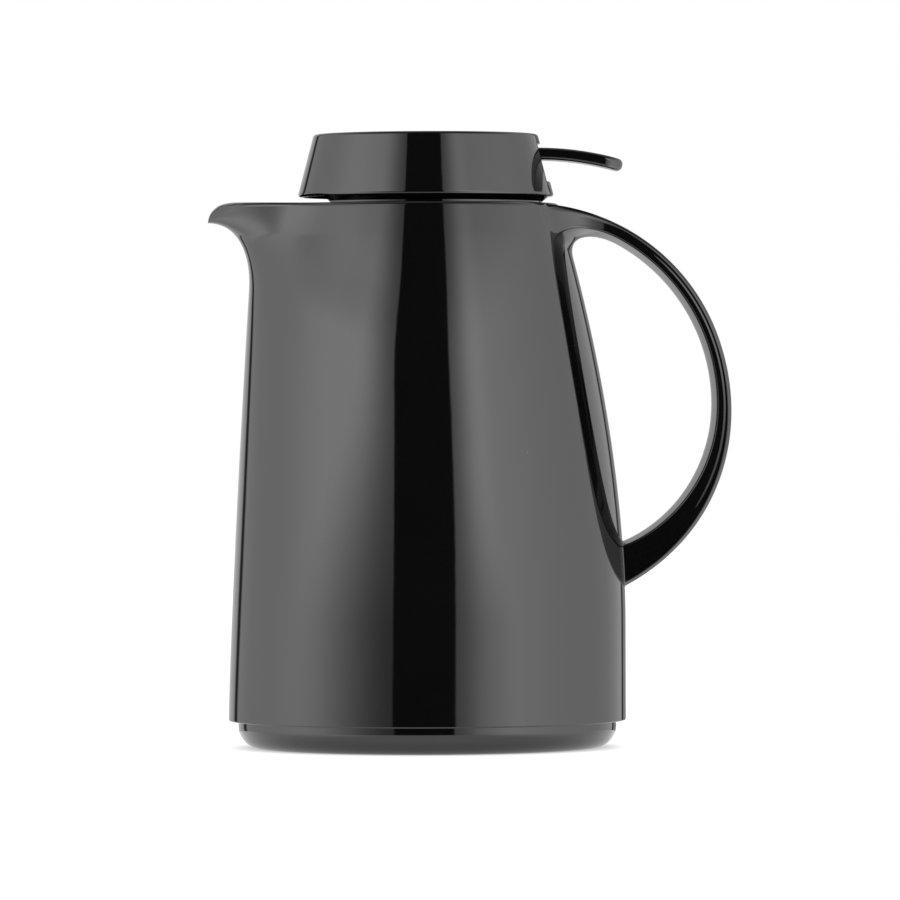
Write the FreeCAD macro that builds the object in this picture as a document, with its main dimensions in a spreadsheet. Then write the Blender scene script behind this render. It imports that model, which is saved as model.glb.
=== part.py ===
"""Thermal carafe with a glass flask, a screw-in stopper and a thumb lever that opens its valve.

Millimetres. The origin is the centre of the face that the carafe stands on, +Z is up,
the spout points towards -X, and the handle and the thumb lever towards +X.
"""

import FreeCAD, Part
import os
import re
import Sketcher
from FreeCAD import Placement, Rotation, Vector
from math import cos, pi, radians, sin, sqrt, tan

UP = Vector(0, 0, 1)
ORIGIN = Vector(0, 0, 0)
SECTION_POINTS = 48
LOWER_STEPS = 6
BEAK_ANGLES = (35, 52, 66, 78)
ROLL_ANGLES = (25, 50, 75, 90)
SPACE_ANGLES = (18, 26)
BASIN_ANGLES = (12, 24, 38, 52, 66)
HANDLE_ROOT_END = 82
HANDLE_ANGLES = (-67, -58, -46, -32, -16, 0, 20, 40, 54, 64, 70, 75, 79, HANDLE_ROOT_END)
PAD_ANGLES = (30, 150, 270)
LID_RAMPS = 4
BASE_RAMPS = 3
FLOW_HOLES = 6
OVERCUT = 2
HUGE = 400

SIZES = {
    # Casing: a round jug whose front swells upwards into a beak.
    "casing_radius": 69.5,
    "casing_lift": 9.5,
    "casing_wall": 2.5,
    "straight_height": 45,
    "rim_height": 190.4,
    "rim_radius": 46.2,
    "back_taper": 1.84,
    "waist_inset": 7.5,
    "front_taper": 1.25,
    "beak_overhang": 14.3,
    "beak_rise": 24.6,
    "beak_bend": 2.2,
    "lip_roll": 5.8,
    "lip_overhang": 6.8,
    "body_roundness": 2,
    "beak_sharpness": 28,
    "beak_blend": 34.6,
    "basin_depth": 19.4,
    "deck_wall": 3,
    # Handle: a strap bent round one centre, thicker at its foot and wider at its root.
    "handle_centre_inset": 33.5,
    "handle_top_rise": 0.4,
    "handle_radius": 70.8,
    "handle_thickness": 7,
    "handle_width": 21,
    "handle_corner": 2.2,
    "handle_foot_angle": 58,
    "handle_foot_swell": 1.5,
    "handle_foot_thickness": 15.1,
    "handle_root_angle": 60,
    "handle_root_flare": 7,
    "handle_root_thickness": 13,
    "weld_gap": 0.1,
    # Neck ring with its two gaskets.
    "neck_inset": 7.8,
    "neck_wall": 3.8,
    "neck_bore_depth": 12,
    "neck_stand": 1,
    "neck_flange_width": 5.6,
    "neck_flange_wall": 3,
    "neck_foot_step": 2.4,
    "neck_mouth_step": 7.1,
    "neck_mouth_depth": 5,
    "collar_seal_thickness": 1.5,
    "neck_gasket_thickness": 3,
    # Glass flask: two bulbs joined at the lip.
    "glass_clearance": 12,
    "glass_wall": 2,
    "glass_neck_inset": 4,
    "glass_neck_length": 9,
    "glass_lip": 2,
    "inner_glass_wall": 1.8,
    "vacuum_gap": 3.5,
    "vacuum_neck_gap": 1.8,
    "vacuum_bottom_gap": 4,
    "bottom_round": 30,
    "shoulder_round": 25,
    "neck_round": 10,
    "lip_round": 0.7,
    "pip_length": 6,
    "pip_tip_radius": 1.5,
    "pip_root_radius": 4,
    "spacer_height": 62,
    "spacer_size": 6,
    "spacer_angle": 7,
    # Base cover with its seal ring and the cushion under the glass.
    "foot_inset": 3.1,
    "foot_round": 5.5,
    "foot_ring_width": 13.6,
    "foot_pad_radius": 24,
    "base_recess": 1.5,
    "base_floor": 2.5,
    "base_shoulder_rise": 1.5,
    "base_skirt_inset": 3.3,
    "base_skirt_wall": 2.4,
    "base_skirt_height": 13,
    "base_floor_round": 3,
    "base_seal_thickness": 1.5,
    "cushion_radius": 40,
    "cushion_flat_radius": 29,
    "cushion_hole_radius": 10,
    "cushion_thickness": 13.7,
    "cushion_rise": 1.4,
    # Screw ramps between stopper and neck ring, and between base cover and casing.
    "ramp_root_width": 2.4,
    "ramp_crest_width": 1.4,
    "ramp_gap": 0.4,
    "ramp_bite": 0.6,
    "ramp_sweep": 38,
    "lid_lead": 36,
    "lid_ramp_depth": 2.1,
    "lid_ramp_clearance": 0.6,
    "lid_ramp_drop": 5.8,
    "base_lead": 30,
    "base_ramp_depth": 2.4,
    "base_ramp_rise": 3.2,
    # Stopper: drum, plug and valve seat in one moulding.
    "lid_gasket_thickness": 2,
    "lid_gasket_inset": 0.2,
    "drum_overhang": 2.2,
    "drum_wall": 2,
    "drum_floor": 2,
    "drum_flange_thickness": 2,
    "port_half_width": 23.9,
    "plug_gap": 3,
    "plug_wall": 2.6,
    "nose_step": 2.2,
    "nose_height": 1.8,
    "nose_gap": 0.2,
    "seat_floor": 3,
    "stem_boss_radius": 5.6,
    "flow_hole_radius": 3.7,
    "flow_hole_bridge": 1.7,
    "stopper_seal_gap": 2.4,
    # Lid cover.
    "lid_brim": 4.2,
    "lid_taper": 5.6,
    "lid_gap": 2.8,
    "lid_depth": 21.2,
    "lid_wall": 2,
    "lid_edge_round": 1.6,
    "lid_rim_round": 0.7,
    "slot_clearance": 0.8,
    # Thumb lever and its pin.
    "lever_pivot_reach": 27,
    "lever_headroom": 1.9,
    "lever_thickness": 4.2,
    "lever_width": 18,
    "lever_bend_inset": 2.4,
    "lever_bend_radius": 105,
    "lever_droop": 16.6,
    "lever_tip_length": 2.4,
    "lever_tip_round": 1.9,
    "lever_thumb_round": 7,
    "lever_hub_width": 29,
    "lever_hub_length": 11,
    "lever_hub_radius": 3.5,
    "lever_press_angle": 6,
    "pivot_pin_radius": 1.5,
    "post_thickness": 3.2,
    "post_half_length": 3.5,
    "post_rise": 3,
    # Valve: stem, plate, washer, clip and return spring.
    "stem_radius": 2.5,
    "stem_tail": 1,
    "stem_head_radius": 6.5,
    "stem_head_thickness": 2.8,
    "stem_head_crown": 1.1,
    "valve_seal_lap": 1.8,
    "valve_seal_thickness": 2,
    "valve_disc_lap": 1.5,
    "valve_disc_thickness": 2.5,
    "clip_radius": 5,
    "clip_thickness": 1.2,
    "spring_radius": 4.6,
    "spring_wire_radius": 0.55,
    "spring_turns": 7,
    # Clearances.
    "fit_gap": 0.1,
    "run_gap": 0.3,
    "pin_gap": 0.05,
}

# Levels and radii that follow from the sizes, written with the sizes' names.
DERIVED = {
    "casing_bore": "casing_radius - casing_wall",
    "waist_reach": "casing_radius - waist_inset",
    "beak_reach": "waist_reach + beak_overhang",
    "crest_reach": "beak_reach - lip_overhang",
    "beak_height": "rim_height - lip_roll",
    "waist_height": "beak_height - beak_rise",
    "beak_start": "beak_height - beak_blend",
    "deck_height": "rim_height - basin_depth",
    "deck_under": "deck_height - deck_wall",
    "handle_centre_reach": "casing_radius - handle_centre_inset",
    "handle_centre_height": "rim_height + handle_top_rise - handle_radius",
    "neck_tube_radius": "rim_radius - neck_inset",
    "neck_bore_radius": "neck_tube_radius - neck_wall",
    "neck_flange_radius": "neck_tube_radius + neck_flange_width",
    "neck_foot_radius": "neck_tube_radius - neck_foot_step",
    "neck_mouth_radius": "neck_bore_radius - neck_mouth_step",
    "ring_top": "deck_height + neck_stand",
    "flange_top": "deck_under - collar_seal_thickness",
    "flange_under": "flange_top - neck_flange_wall",
    "neck_shoulder": "ring_top - neck_bore_depth",
    "ring_under": "neck_shoulder - neck_mouth_depth",
    "glass_radius": "casing_radius - glass_clearance",
    "glass_neck_radius": "neck_foot_radius - glass_neck_inset",
    "glass_bottom": "base_floor_top + cushion_thickness + run_gap",
    "glass_top": "ring_under - neck_gasket_thickness",
    "lip_under": "glass_top - glass_lip",
    "neck_corner": "glass_top - glass_neck_length",
    "shoulder_corner": "neck_corner - glass_radius + glass_neck_radius",
    "vacuum_offset": "glass_wall + vacuum_gap",
    "inner_glass_radius": "glass_radius - vacuum_offset",
    "inner_neck_radius": "glass_neck_radius - glass_wall - vacuum_neck_gap",
    "inner_glass_bottom": "glass_bottom + glass_wall + vacuum_bottom_gap",
    "base_radius": "casing_bore - run_gap",
    "base_skirt_radius": "base_radius - base_skirt_inset",
    "foot_radius": "base_radius - foot_inset",
    "foot_ring_inner_radius": "foot_radius - foot_ring_width",
    "base_shoulder": "casing_lift + base_shoulder_rise",
    "base_floor_top": "base_recess + base_floor",
    "ramp_step": "ramp_root_width + ramp_gap",
    "lid_ramp_start": "ring_top - lid_ramp_drop",
    "base_ramp_start": "base_shoulder + base_ramp_rise",
    "drum_under": "ring_top + lid_gasket_thickness",
    "drum_floor_top": "drum_under + drum_floor",
    "nose_under": "neck_shoulder + nose_gap",
    "nose_top": "nose_under + nose_height",
    "seat_top": "nose_under + seat_floor",
    "drum_radius": "neck_tube_radius + drum_overhang",
    "plug_radius": "neck_bore_radius - plug_gap",
    "nose_radius": "plug_radius - nose_step",
    "flow_hole_ring": "stem_boss_radius + flow_hole_bridge + flow_hole_radius",
    "stopper_seal_radius": "neck_bore_radius - stopper_seal_gap",
    "lid_gasket_inner_radius": "neck_bore_radius + lid_gasket_inset",
    "lid_radius": "drum_radius + lid_brim",
    "lid_top_radius": "lid_radius - lid_taper",
    "lid_rim_height": "rim_height + lid_gap",
    "lid_height": "lid_rim_height + lid_depth",
    "lid_slope": "lid_taper / lid_depth",
    "flange_radius": "lid_radius - lid_wall - drum_flange_thickness * lid_slope - fit_gap",
    "lid_ceiling": "lid_height - lid_wall",
    "lever_top": "lid_ceiling - lever_headroom",
    "lever_underside": "lever_top - lever_thickness",
    "lever_bend_start": "lid_top_radius - lever_bend_inset",
    "pivot_height": "lever_underside + lever_thickness / 2",
    "slot_half_width": "lever_width / 2 + slot_clearance",
    "post_half_gap": "lever_hub_width / 2 + run_gap",
    "stem_bore": "stem_radius + pin_gap",
    "head_top": "lever_underside - run_gap",
    "head_under": "head_top - stem_head_thickness",
    "valve_seal_radius": "flow_hole_ring + flow_hole_radius + valve_seal_lap",
    "valve_disc_radius": "valve_seal_radius + valve_disc_lap",
    "disc_top": "nose_under - valve_seal_thickness",
    "disc_under": "disc_top - valve_disc_thickness",
    "clip_under": "disc_under - clip_thickness",
    "stem_foot": "clip_under - stem_tail",
}

doc = FreeCAD.newDocument("thermal_carafe")
sheet = doc.addObject("Spreadsheet::Sheet", "dims")
for row, (alias, value) in enumerate(SIZES.items(), 1):
    sheet.set(f"A{row}", alias)
    sheet.set(f"B{row}", str(value))
    sheet.setAlias(f"B{row}", alias)
doc.recompute()


def bound(text):
    """An expression on the sheet's cells, from one written with the plain names of sizes."""

    def named(match):
        word = match.group()
        if word in DERIVED:
            return f"({bound(DERIVED[word])})"
        return f"dims.{word}" if word in SIZES else word

    return re.sub(r"[a-z][a-z_]*", named, text)


def size(text):
    """The present value of an expression written with the plain names of sizes."""
    return float(sheet.evalExpression(bound(text)))


def origin_plane(body, role):
    return next(plane for plane in body.Origin.OriginFeatures if plane.Role == role)


def new_sketch(body, name, plane):
    sketch = body.newObject("Sketcher::SketchObject", name)
    sketch.AttachmentSupport = (origin_plane(body, plane), "")
    sketch.MapMode = "FlatFace"
    return sketch


def place_point(sketch, element, end, across, along):
    """Ties a point of a sketch to two expressions, or to an axis where one of them is 0."""
    for kind, axis, text in (("DistanceX", -2, across), ("DistanceY", -1, along)):
        if text == "0":
            sketch.addConstraint(Sketcher.Constraint("PointOnObject", element, end, axis))
            continue
        tie = Sketcher.Constraint(kind, -1, 1, element, end, size(text))
        sketch.setExpression(f"Constraints[{sketch.addConstraint(tie)}]", bound(text))


def outline(body, name, corners, plane="XZ_Plane"):
    """A closed outline of straight lines, tied to its corners. A third expression rounds a corner."""
    sketch = new_sketch(body, name, plane)
    points = [Vector(size(corner[0]), size(corner[1]), 0) for corner in corners]
    rounds = [size(corner[2]) if len(corner) > 2 else 0 for corner in corners]
    starts, ends, turns = [], [], []
    for index, point in enumerate(points):
        to_last = (points[index - 1] - point).normalize()
        to_next = (points[(index + 1) % len(points)] - point).normalize()
        setback = rounds[index] / tan(to_last.getAngle(to_next) / 2)
        ends.append(point + to_last * setback)
        starts.append(point + to_next * setback)
        turns.append(to_last.cross(to_next).z < 0)
    lines = []
    for index in range(len(points)):
        follower = (index + 1) % len(points)
        lines.append(sketch.addGeometry(Part.LineSegment(starts[index], ends[follower])))
    for index, corner in enumerate(corners):
        before, after = lines[index - 1], lines[index]
        if not rounds[index]:
            sketch.addConstraint(Sketcher.Constraint("Coincident", before, 2, after, 1))
            place_point(sketch, after, 1, corner[0], corner[1])
            continue
        arc, first, last = add_round(sketch, points[index], ends[index], starts[index], turns[index])
        sketch.addConstraint(Sketcher.Constraint("Tangent", before, 2, arc, first))
        sketch.addConstraint(Sketcher.Constraint("Tangent", arc, last, after, 1))
        radius = sketch.addConstraint(Sketcher.Constraint("Radius", arc, rounds[index]))
        sketch.setExpression(f"Constraints[{radius}]", bound(corner[2]))
        mark = sketch.addGeometry(Part.Point(points[index]), True)
        sketch.addConstraint(Sketcher.Constraint("PointOnObject", mark, 1, before))
        sketch.addConstraint(Sketcher.Constraint("PointOnObject", mark, 1, after))
        place_point(sketch, mark, 1, corner[0], corner[1])
    return sketch


def add_round(sketch, corner, entry, leave, left_turn):
    """An arc from entry to leave, and which of its two ends touches each of them."""
    middle = (entry + leave) * 0.5
    half = (leave - entry).Length / 2
    reach = (corner - entry).Length
    inward = (middle - corner).normalize()
    centre = middle + inward * (half * half / sqrt(reach * reach - half * half))
    circle = Part.Circle(centre, UP, (entry - centre).Length)
    first, last = (entry, leave) if left_turn else (leave, entry)
    arc = Part.ArcOfCircle(circle, circle.parameter(first), circle.parameter(last))
    return (sketch.addGeometry(arc), 1, 2) if left_turn else (sketch.addGeometry(arc), 2, 1)


def turned(label, corners):
    """A body turned about the carafe's axis, from an outline of radius and height."""
    body = doc.addObject("PartDesign::Body", label)
    sketch = outline(body, label + "_outline", corners)
    revolution = body.newObject("PartDesign::Revolution", label + "_turning")
    revolution.Profile = sketch
    revolution.ReferenceAxis = (sketch, ["V_Axis"])
    revolution.Angle = 360
    doc.recompute()
    return body


def ring(label, inner, outer, under, top):
    """A plain ring between two radii and two heights."""
    return turned(label, [(inner, under), (outer, under), (outer, top), (inner, top)])


def padded(body, name, sketch, width):
    """Adds a sketch's outline to a body, half of the width on each side of the sketch's plane."""
    pad = body.newObject("PartDesign::Pad", name)
    pad.Profile = sketch
    pad.Midplane = True
    pad.setExpression("Length", bound(width))
    doc.recompute()


def pocketed(body, name, sketch, width=None, backwards=False):
    """Cuts a sketch's outline out of a body: to a width across its plane, or right through one way."""
    before = body.Shape.Volume
    pocket = body.newObject("PartDesign::Pocket", name)
    pocket.Profile = sketch
    if width:
        pocket.Midplane = True
        pocket.setExpression("Length", bound(width))
    else:
        pocket.Type = "ThroughAll"
        pocket.Reversed = backwards
    doc.recompute()
    if body.Shape.Volume >= before:
        raise ValueError(name + " cuts nothing")
    return pocket


def round_hole(body, name, plane, across, along, radius):
    """A sketch of one circle, tied to its centre and radius."""
    sketch = new_sketch(body, name, plane)
    centre = Vector(size(across), size(along), 0)
    circle = sketch.addGeometry(Part.Circle(centre, UP, size(radius)))
    tie = sketch.addConstraint(Sketcher.Constraint("Radius", circle, size(radius)))
    sketch.setExpression(f"Constraints[{tie}]", bound(radius))
    place_point(sketch, circle, 3, across, along)
    return sketch


def shaped(label, shape):
    """An object that holds a shape worked out from the sheet's sizes."""
    feature = doc.addObject("Part::Feature", label)
    feature.Shape = shape
    feature.Placement = Placement()
    return feature


def fused(label, pieces):
    """One solid made of several objects."""
    fusion = doc.addObject("Part::MultiFuse", label)
    fusion.Shapes = pieces
    doc.recompute()
    return fusion


def screw_ramps(label, wall, crest, height, lead, starts):
    """Short screw ramps on a round wall: each is a trapezium swept up a helix, tapering to its crest."""
    wall, crest = size(wall), size(crest)
    root = wall - size("ramp_bite") if crest > wall else wall + size("ramp_bite")
    half_root, half_crest = size("ramp_root_width / 2"), size("ramp_crest_width / 2")
    corners = [(root, -half_root), (crest, -half_crest), (crest, half_crest), (root, half_root)]
    if crest < wall:
        corners.reverse()
    section = Part.makePolygon([Vector(r, 0, z) for r, z in corners + corners[:1]])
    rise = size(lead) * size("ramp_sweep") / 360
    path = Part.Wire(Part.makeHelix(size(lead), rise, wall).Edges)
    ramp = path.makePipeShell([section], True, True)
    ramp.translate(Vector(0, 0, size(height)))
    return shaped(label, Part.Compound([turn_copy(ramp, 360 / starts * k) for k in range(starts)]))


def turn_copy(shape, angle):
    copy = shape.copy()
    copy.rotate(ORIGIN, UP, angle)
    return copy


# Casing. Level sections are round at the back and drawn out towards the spout, more sharply near the beak.


def back_radius(height):
    rise = max(0, height - size("straight_height")) / size("rim_height - straight_height")
    return size("casing_radius") - size("casing_radius - rim_radius") * rise ** size("back_taper")


def front_radius(height):
    """The front's reach below the waist, where the beak starts to bend outwards."""
    rise = max(0, height - size("casing_lift")) / size("waist_height - casing_lift")
    return size("casing_radius") - size("casing_radius - waist_reach") * rise ** size("front_taper")


def sharpness(height):
    rise = max(0, height - size("beak_start")) / size("beak_height - beak_start")
    return size("body_roundness") + size("beak_sharpness - body_roundness") * min(rise, 1) ** 3


def level_section(height, reach, inset):
    """A closed curve at one height: inset from the back, and out to a reach at the front."""
    back = back_radius(height) - inset
    power = sharpness(height)
    points = []
    for step in range(SECTION_POINTS):
        turn = 2 * pi * step / SECTION_POINTS
        radius = back + (reach - back) * ((1 + cos(turn)) / 2) ** power
        points.append(Vector(-radius * cos(turn), radius * sin(turn), height))
    curve = Part.BSplineCurve()
    curve.interpolate(points, PeriodicFlag=True)
    return Part.Wire([curve.toShape()])


def beak_point(angle, inset=0):
    """Height and reach on the bend under the beak, which turns from upright at 0 to level at 90 degrees."""
    power = 2 / size("beak_bend")
    height = size("waist_height") + size("beak_height - waist_height") * sin(radians(angle)) ** power
    reach = size("waist_reach") + size("beak_reach - waist_reach") * (1 - cos(radians(angle)) ** power)
    return height + inset * sin(radians(angle)), reach - inset * cos(radians(angle))


def lip_point(angle):
    """Height and reach on the lip's rolled top, from the beak's edge at 0 to the crest at 90 degrees."""
    height = size("beak_height") + size("rim_height - beak_height") * sin(radians(angle))
    return height, size("crest_reach") + size("beak_reach - crest_reach") * cos(radians(angle))


def lofted(levels, inset):
    return Part.makeLoft([level_section(height, reach, inset) for height, reach in levels], True)


def straight_levels(bottom, top, inset):
    """Levels of the casing's plain lower part."""
    heights = [bottom + (top - bottom) * step / LOWER_STEPS for step in range(LOWER_STEPS + 1)]
    return [(height, front_radius(height) - inset) for height in heights]


def casing_block(inset):
    """The casing's outer form as a solid, drawn in by an inset or, below 0, swollen."""
    bottom, waist = size("casing_lift"), size("waist_height")
    lower = straight_levels(bottom, waist, inset)
    beak = [beak_point(angle, inset) for angle in BEAK_ANGLES]
    edge_height, edge_reach = beak_point(90)
    tip = (edge_height, edge_reach - inset)
    roll = [(height, reach - inset) for height, reach in map(lip_point, ROLL_ANGLES)]
    return lofted(lower + beak + [tip], inset).fuse(lofted([tip] + roll, inset)).removeSplitter()


wall = size("casing_wall")
lower_space = lofted(straight_levels(size("casing_lift") - OVERCUT, size("waist_height"), wall)
                     + [beak_point(angle, wall) for angle in SPACE_ANGLES], wall)
above_space = Part.makeBox(HUGE, HUGE, HUGE, Vector(-HUGE / 2, -HUGE / 2, size("deck_under")))
lower_space = lower_space.cut(above_space)

basin_levels = [beak_point(angle, wall) for angle in BASIN_ANGLES]
top_reach = size("crest_reach - casing_wall")
basin_levels += [(size("rim_height"), top_reach), (size("rim_height") + OVERCUT, top_reach)]
below_deck = Part.makeBox(HUGE, HUGE, HUGE, Vector(-HUGE / 2, -HUGE / 2, size("deck_height") - HUGE))
basin = lofted(basin_levels, wall).cut(below_deck)

neck_hole = Part.makeCylinder(size("neck_tube_radius + fit_gap"), size("deck_wall") + 2 * OVERCUT,
                              Vector(0, 0, size("deck_under") - OVERCUT))
casing_walls = shaped("casing_walls", casing_block(0).cut(lower_space).cut(basin).cut(neck_hole))
casing_ramps = screw_ramps("casing_ramps", "casing_bore", "casing_bore - base_ramp_depth",
                           "base_ramp_start", "base_lead", BASE_RAMPS)
body_shell = fused("body_shell", [casing_walls, casing_ramps])


# Handle. Rounded oblong sections stand on rays from one centre, from the foot up to the root.


def handle_section(angle):
    down = max(0, -angle) / size("handle_foot_angle")
    up = max(0, angle - size("handle_root_angle")) / (HANDLE_ROOT_END - size("handle_root_angle"))
    outer = size("handle_radius") + size("handle_foot_swell") * down ** 2
    thickness = size("handle_thickness") + size("handle_foot_thickness - handle_thickness") * down ** 2
    thickness += size("handle_root_thickness - handle_thickness") * up ** 2
    half_width = size("handle_width") / 2 + size("handle_root_flare") * up ** 2
    ray = Vector(cos(radians(angle)), 0, sin(radians(angle)))
    centre = Vector(size("handle_centre_reach"), 0, size("handle_centre_height"))
    return rounded_oblong(centre + ray * (outer - thickness / 2), ray, thickness / 2, half_width)


def rounded_oblong(middle, ray, half_height, half_width):
    """A closed outline of four lines and four arcs, in the plane of a ray and the Y axis."""
    side = Vector(0, 1, 0)
    corner = size("handle_corner")
    edges = []
    last = None
    for along, across in ((1, 1), (-1, 1), (-1, -1), (1, -1)):
        centre = middle + ray * (along * (half_height - corner)) + side * (across * (half_width - corner))
        on_end, on_side = centre + ray * (along * corner), centre + side * (across * corner)
        first, then = (on_end, on_side) if along == across else (on_side, on_end)
        bulge = centre + (ray * along + side * across) * (corner / sqrt(2))
        if last:
            edges.append(Part.LineSegment(last, first).toShape())
        edges.append(Part.Arc(first, bulge, then).toShape())
        last = then
    edges.append(Part.LineSegment(last, edges[0].Vertexes[0].Point).toShape())
    return Part.Wire(edges)


strap = Part.makeLoft([handle_section(angle) for angle in HANDLE_ANGLES], True)
handle = shaped("handle", strap.cut(casing_block(-size("weld_gap"))))

# Glass flask. The two bulbs meet at the lip, and small pads keep their walls apart.

BEVEL = tan(radians(22.5))


def bulb_corners(offset, neck, bottom, top):
    """Corners of a bulb's wall from its bottom up to its neck, drawn in from the outer bulb's surface."""
    shoulder = f"shoulder_corner - ({offset}) * {BEVEL}"
    radius = f"glass_radius - ({offset})"
    return [
        ("0", bottom),
        (radius, bottom, f"bottom_round - ({offset})"),
        (radius, shoulder, f"shoulder_round - ({offset})"),
        (neck, f"{shoulder} + {radius} - ({neck})", "neck_round"),
        (neck, top),
    ]


outer_skin = bulb_corners("0 * glass_wall", "glass_neck_radius", "glass_bottom", "lip_under")
outer_lining = bulb_corners("glass_wall", "glass_neck_radius - glass_wall", "glass_bottom + glass_wall",
                            "lip_under")
pip = [("0", "glass_bottom - pip_length"), ("pip_tip_radius", "glass_bottom - pip_length"),
       ("pip_root_radius", "glass_bottom")]
flask_outer = turned("flask_outer", pip + outer_skin[1:] + outer_lining[::-1])

inner_skin = bulb_corners("vacuum_offset", "inner_neck_radius", "inner_glass_bottom", "lip_under")
inner_lining = bulb_corners("vacuum_offset + inner_glass_wall", "inner_neck_radius - inner_glass_wall",
                            "inner_glass_bottom + inner_glass_wall", "glass_top")
inner_lining[-1] += ("lip_round",)
lip = [("glass_neck_radius", "lip_under"), ("glass_neck_radius", "glass_top", "lip_round")]
flask_inner = turned("flask_inner", inner_skin + lip + inner_lining[::-1])


def spacer_pad(angle):
    """A short piece of a ring that fills the space between the two bulbs."""
    inner, outer = size("inner_glass_radius + pin_gap"), size("glass_radius - glass_wall - pin_gap")
    foot = Vector(0, 0, size("spacer_height"))
    sweep = size("spacer_angle")
    block = Part.makeCylinder(outer, size("spacer_size"), foot, UP, sweep)
    return turn_copy(block.cut(Part.makeCylinder(inner, size("spacer_size"), foot, UP, sweep)), angle)


flask_spacers = shaped("flask_spacers", Part.Compound([spacer_pad(angle) for angle in PAD_ANGLES]))

# Neck ring, pressed up against the casing's deck by the flask, and its two gaskets.

neck_core = turned("neck_core", [
    ("neck_mouth_radius", "ring_under"),
    ("neck_foot_radius", "ring_under"),
    ("neck_foot_radius", "flange_under"),
    ("neck_flange_radius", "flange_under"),
    ("neck_flange_radius", "flange_top"),
    ("neck_tube_radius", "flange_top"),
    ("neck_tube_radius", "ring_top"),
    ("neck_bore_radius", "ring_top"),
    ("neck_bore_radius", "neck_shoulder"),
    ("neck_mouth_radius", "neck_shoulder"),
])
neck_ramps = screw_ramps("neck_ramps", "neck_bore_radius", "neck_bore_radius - lid_ramp_depth",
                         "lid_ramp_start", "lid_lead", LID_RAMPS)
neck_ring = fused("neck_ring", [neck_core, neck_ramps])
collar_seal = ring("collar_seal", "neck_tube_radius + fit_gap", "neck_flange_radius",
                   "flange_top", "deck_under")
neck_gasket = ring("neck_gasket", "neck_mouth_radius", "glass_neck_radius", "glass_top", "ring_under")

# Base cover, screwed into the casing from below, with its seal ring and the cushion under the glass.

base_core = turned("base_core", [
    ("0", "0"),
    ("foot_pad_radius", "0"),
    ("foot_pad_radius", "base_recess"),
    ("foot_ring_inner_radius", "base_recess"),
    ("foot_ring_inner_radius", "0"),
    ("foot_radius", "0", "foot_round"),
    ("base_radius", "casing_lift"),
    ("base_radius", "base_shoulder"),
    ("base_skirt_radius", "base_shoulder"),
    ("base_skirt_radius", "base_shoulder + base_skirt_height"),
    ("base_skirt_radius - base_skirt_wall", "base_shoulder + base_skirt_height"),
    ("base_skirt_radius - base_skirt_wall", "base_floor_top", "base_floor_round"),
    ("0", "base_floor_top"),
])
base_ramps = screw_ramps("base_ramps", "base_skirt_radius", "base_skirt_radius + base_ramp_depth",
                         "base_ramp_start + ramp_step", "base_lead", BASE_RAMPS)
base_cover = fused("base_cover", [base_core, base_ramps])
base_seal = ring("base_seal", "base_skirt_radius + run_gap", "base_radius", "base_shoulder",
                 "base_shoulder + base_seal_thickness")
base_cushion = turned("base_cushion", [
    ("cushion_hole_radius", "base_floor_top"),
    ("cushion_radius", "base_floor_top"),
    ("cushion_radius", "glass_bottom - run_gap + cushion_rise"),
    ("cushion_flat_radius", "glass_bottom - run_gap"),
    ("cushion_hole_radius", "glass_bottom - run_gap"),
])

# Stopper. The valve seat and the stem's guide are at the bottom, the pour port is cut in the drum's front,
# and two posts carry the lever's pin.

stopper_core = turned("stopper_core", [
    ("stem_bore", "nose_under"),
    ("nose_radius", "nose_under"),
    ("nose_radius", "nose_top"),
    ("plug_radius", "nose_top"),
    ("plug_radius", "drum_under"),
    ("drum_radius", "drum_under"),
    ("drum_radius", "lid_rim_height"),
    ("flange_radius", "lid_rim_height"),
    ("flange_radius", "lid_rim_height + drum_flange_thickness"),
    ("drum_radius - drum_wall", "lid_rim_height + drum_flange_thickness"),
    ("drum_radius - drum_wall", "drum_floor_top"),
    ("plug_radius - plug_wall", "drum_floor_top"),
    ("plug_radius - plug_wall", "seat_top"),
    ("stem_boss_radius", "seat_top"),
    ("stem_boss_radius", "drum_floor_top"),
    ("stem_bore", "drum_floor_top"),
])
pocketed(stopper_core, "pour_port", outline(stopper_core, "port_outline", [
    ("-port_half_width", "drum_floor_top"),
    ("port_half_width", "drum_floor_top"),
    ("port_half_width", "lid_rim_height"),
    ("-port_half_width", "lid_rim_height"),
], "YZ_Plane"))
flow_hole = pocketed(stopper_core, "flow_hole", round_hole(
    stopper_core, "flow_hole_outline", "XY_Plane", "flow_hole_ring", "0", "flow_hole_radius"), backwards=True)
flow_holes = stopper_core.newObject("PartDesign::PolarPattern", "flow_holes")
flow_holes.Originals = [flow_hole]
flow_holes.Axis = (stopper_core.getObject("stopper_core_outline"), ["V_Axis"])
flow_holes.Angle = 360
flow_holes.Occurrences = FLOW_HOLES
stopper_core.Tip = flow_holes
doc.recompute()


def post_corners(foot):
    """A post's side view, round-headed about the lever's pin."""
    front, back = "-lever_pivot_reach - post_half_length", "-lever_pivot_reach + post_half_length"
    head = "pivot_height + post_rise"
    return [(front, foot), (back, foot), (back, head, "post_rise"), (front, head, "post_rise")]


padded(stopper_core, "posts",
       outline(stopper_core, "post_outline", post_corners("drum_floor_top - drum_floor / 2")),
       "(post_half_gap + post_thickness) * 2")
pocketed(stopper_core, "between_posts",
         outline(stopper_core, "between_outline", post_corners("drum_floor_top")), "post_half_gap * 2")
pocketed(stopper_core, "pin_holes", round_hole(
    stopper_core, "pin_hole_outline", "XZ_Plane", "-lever_pivot_reach", "pivot_height", "pivot_pin_radius"),
    "(post_half_gap + post_thickness) * 2")

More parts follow.
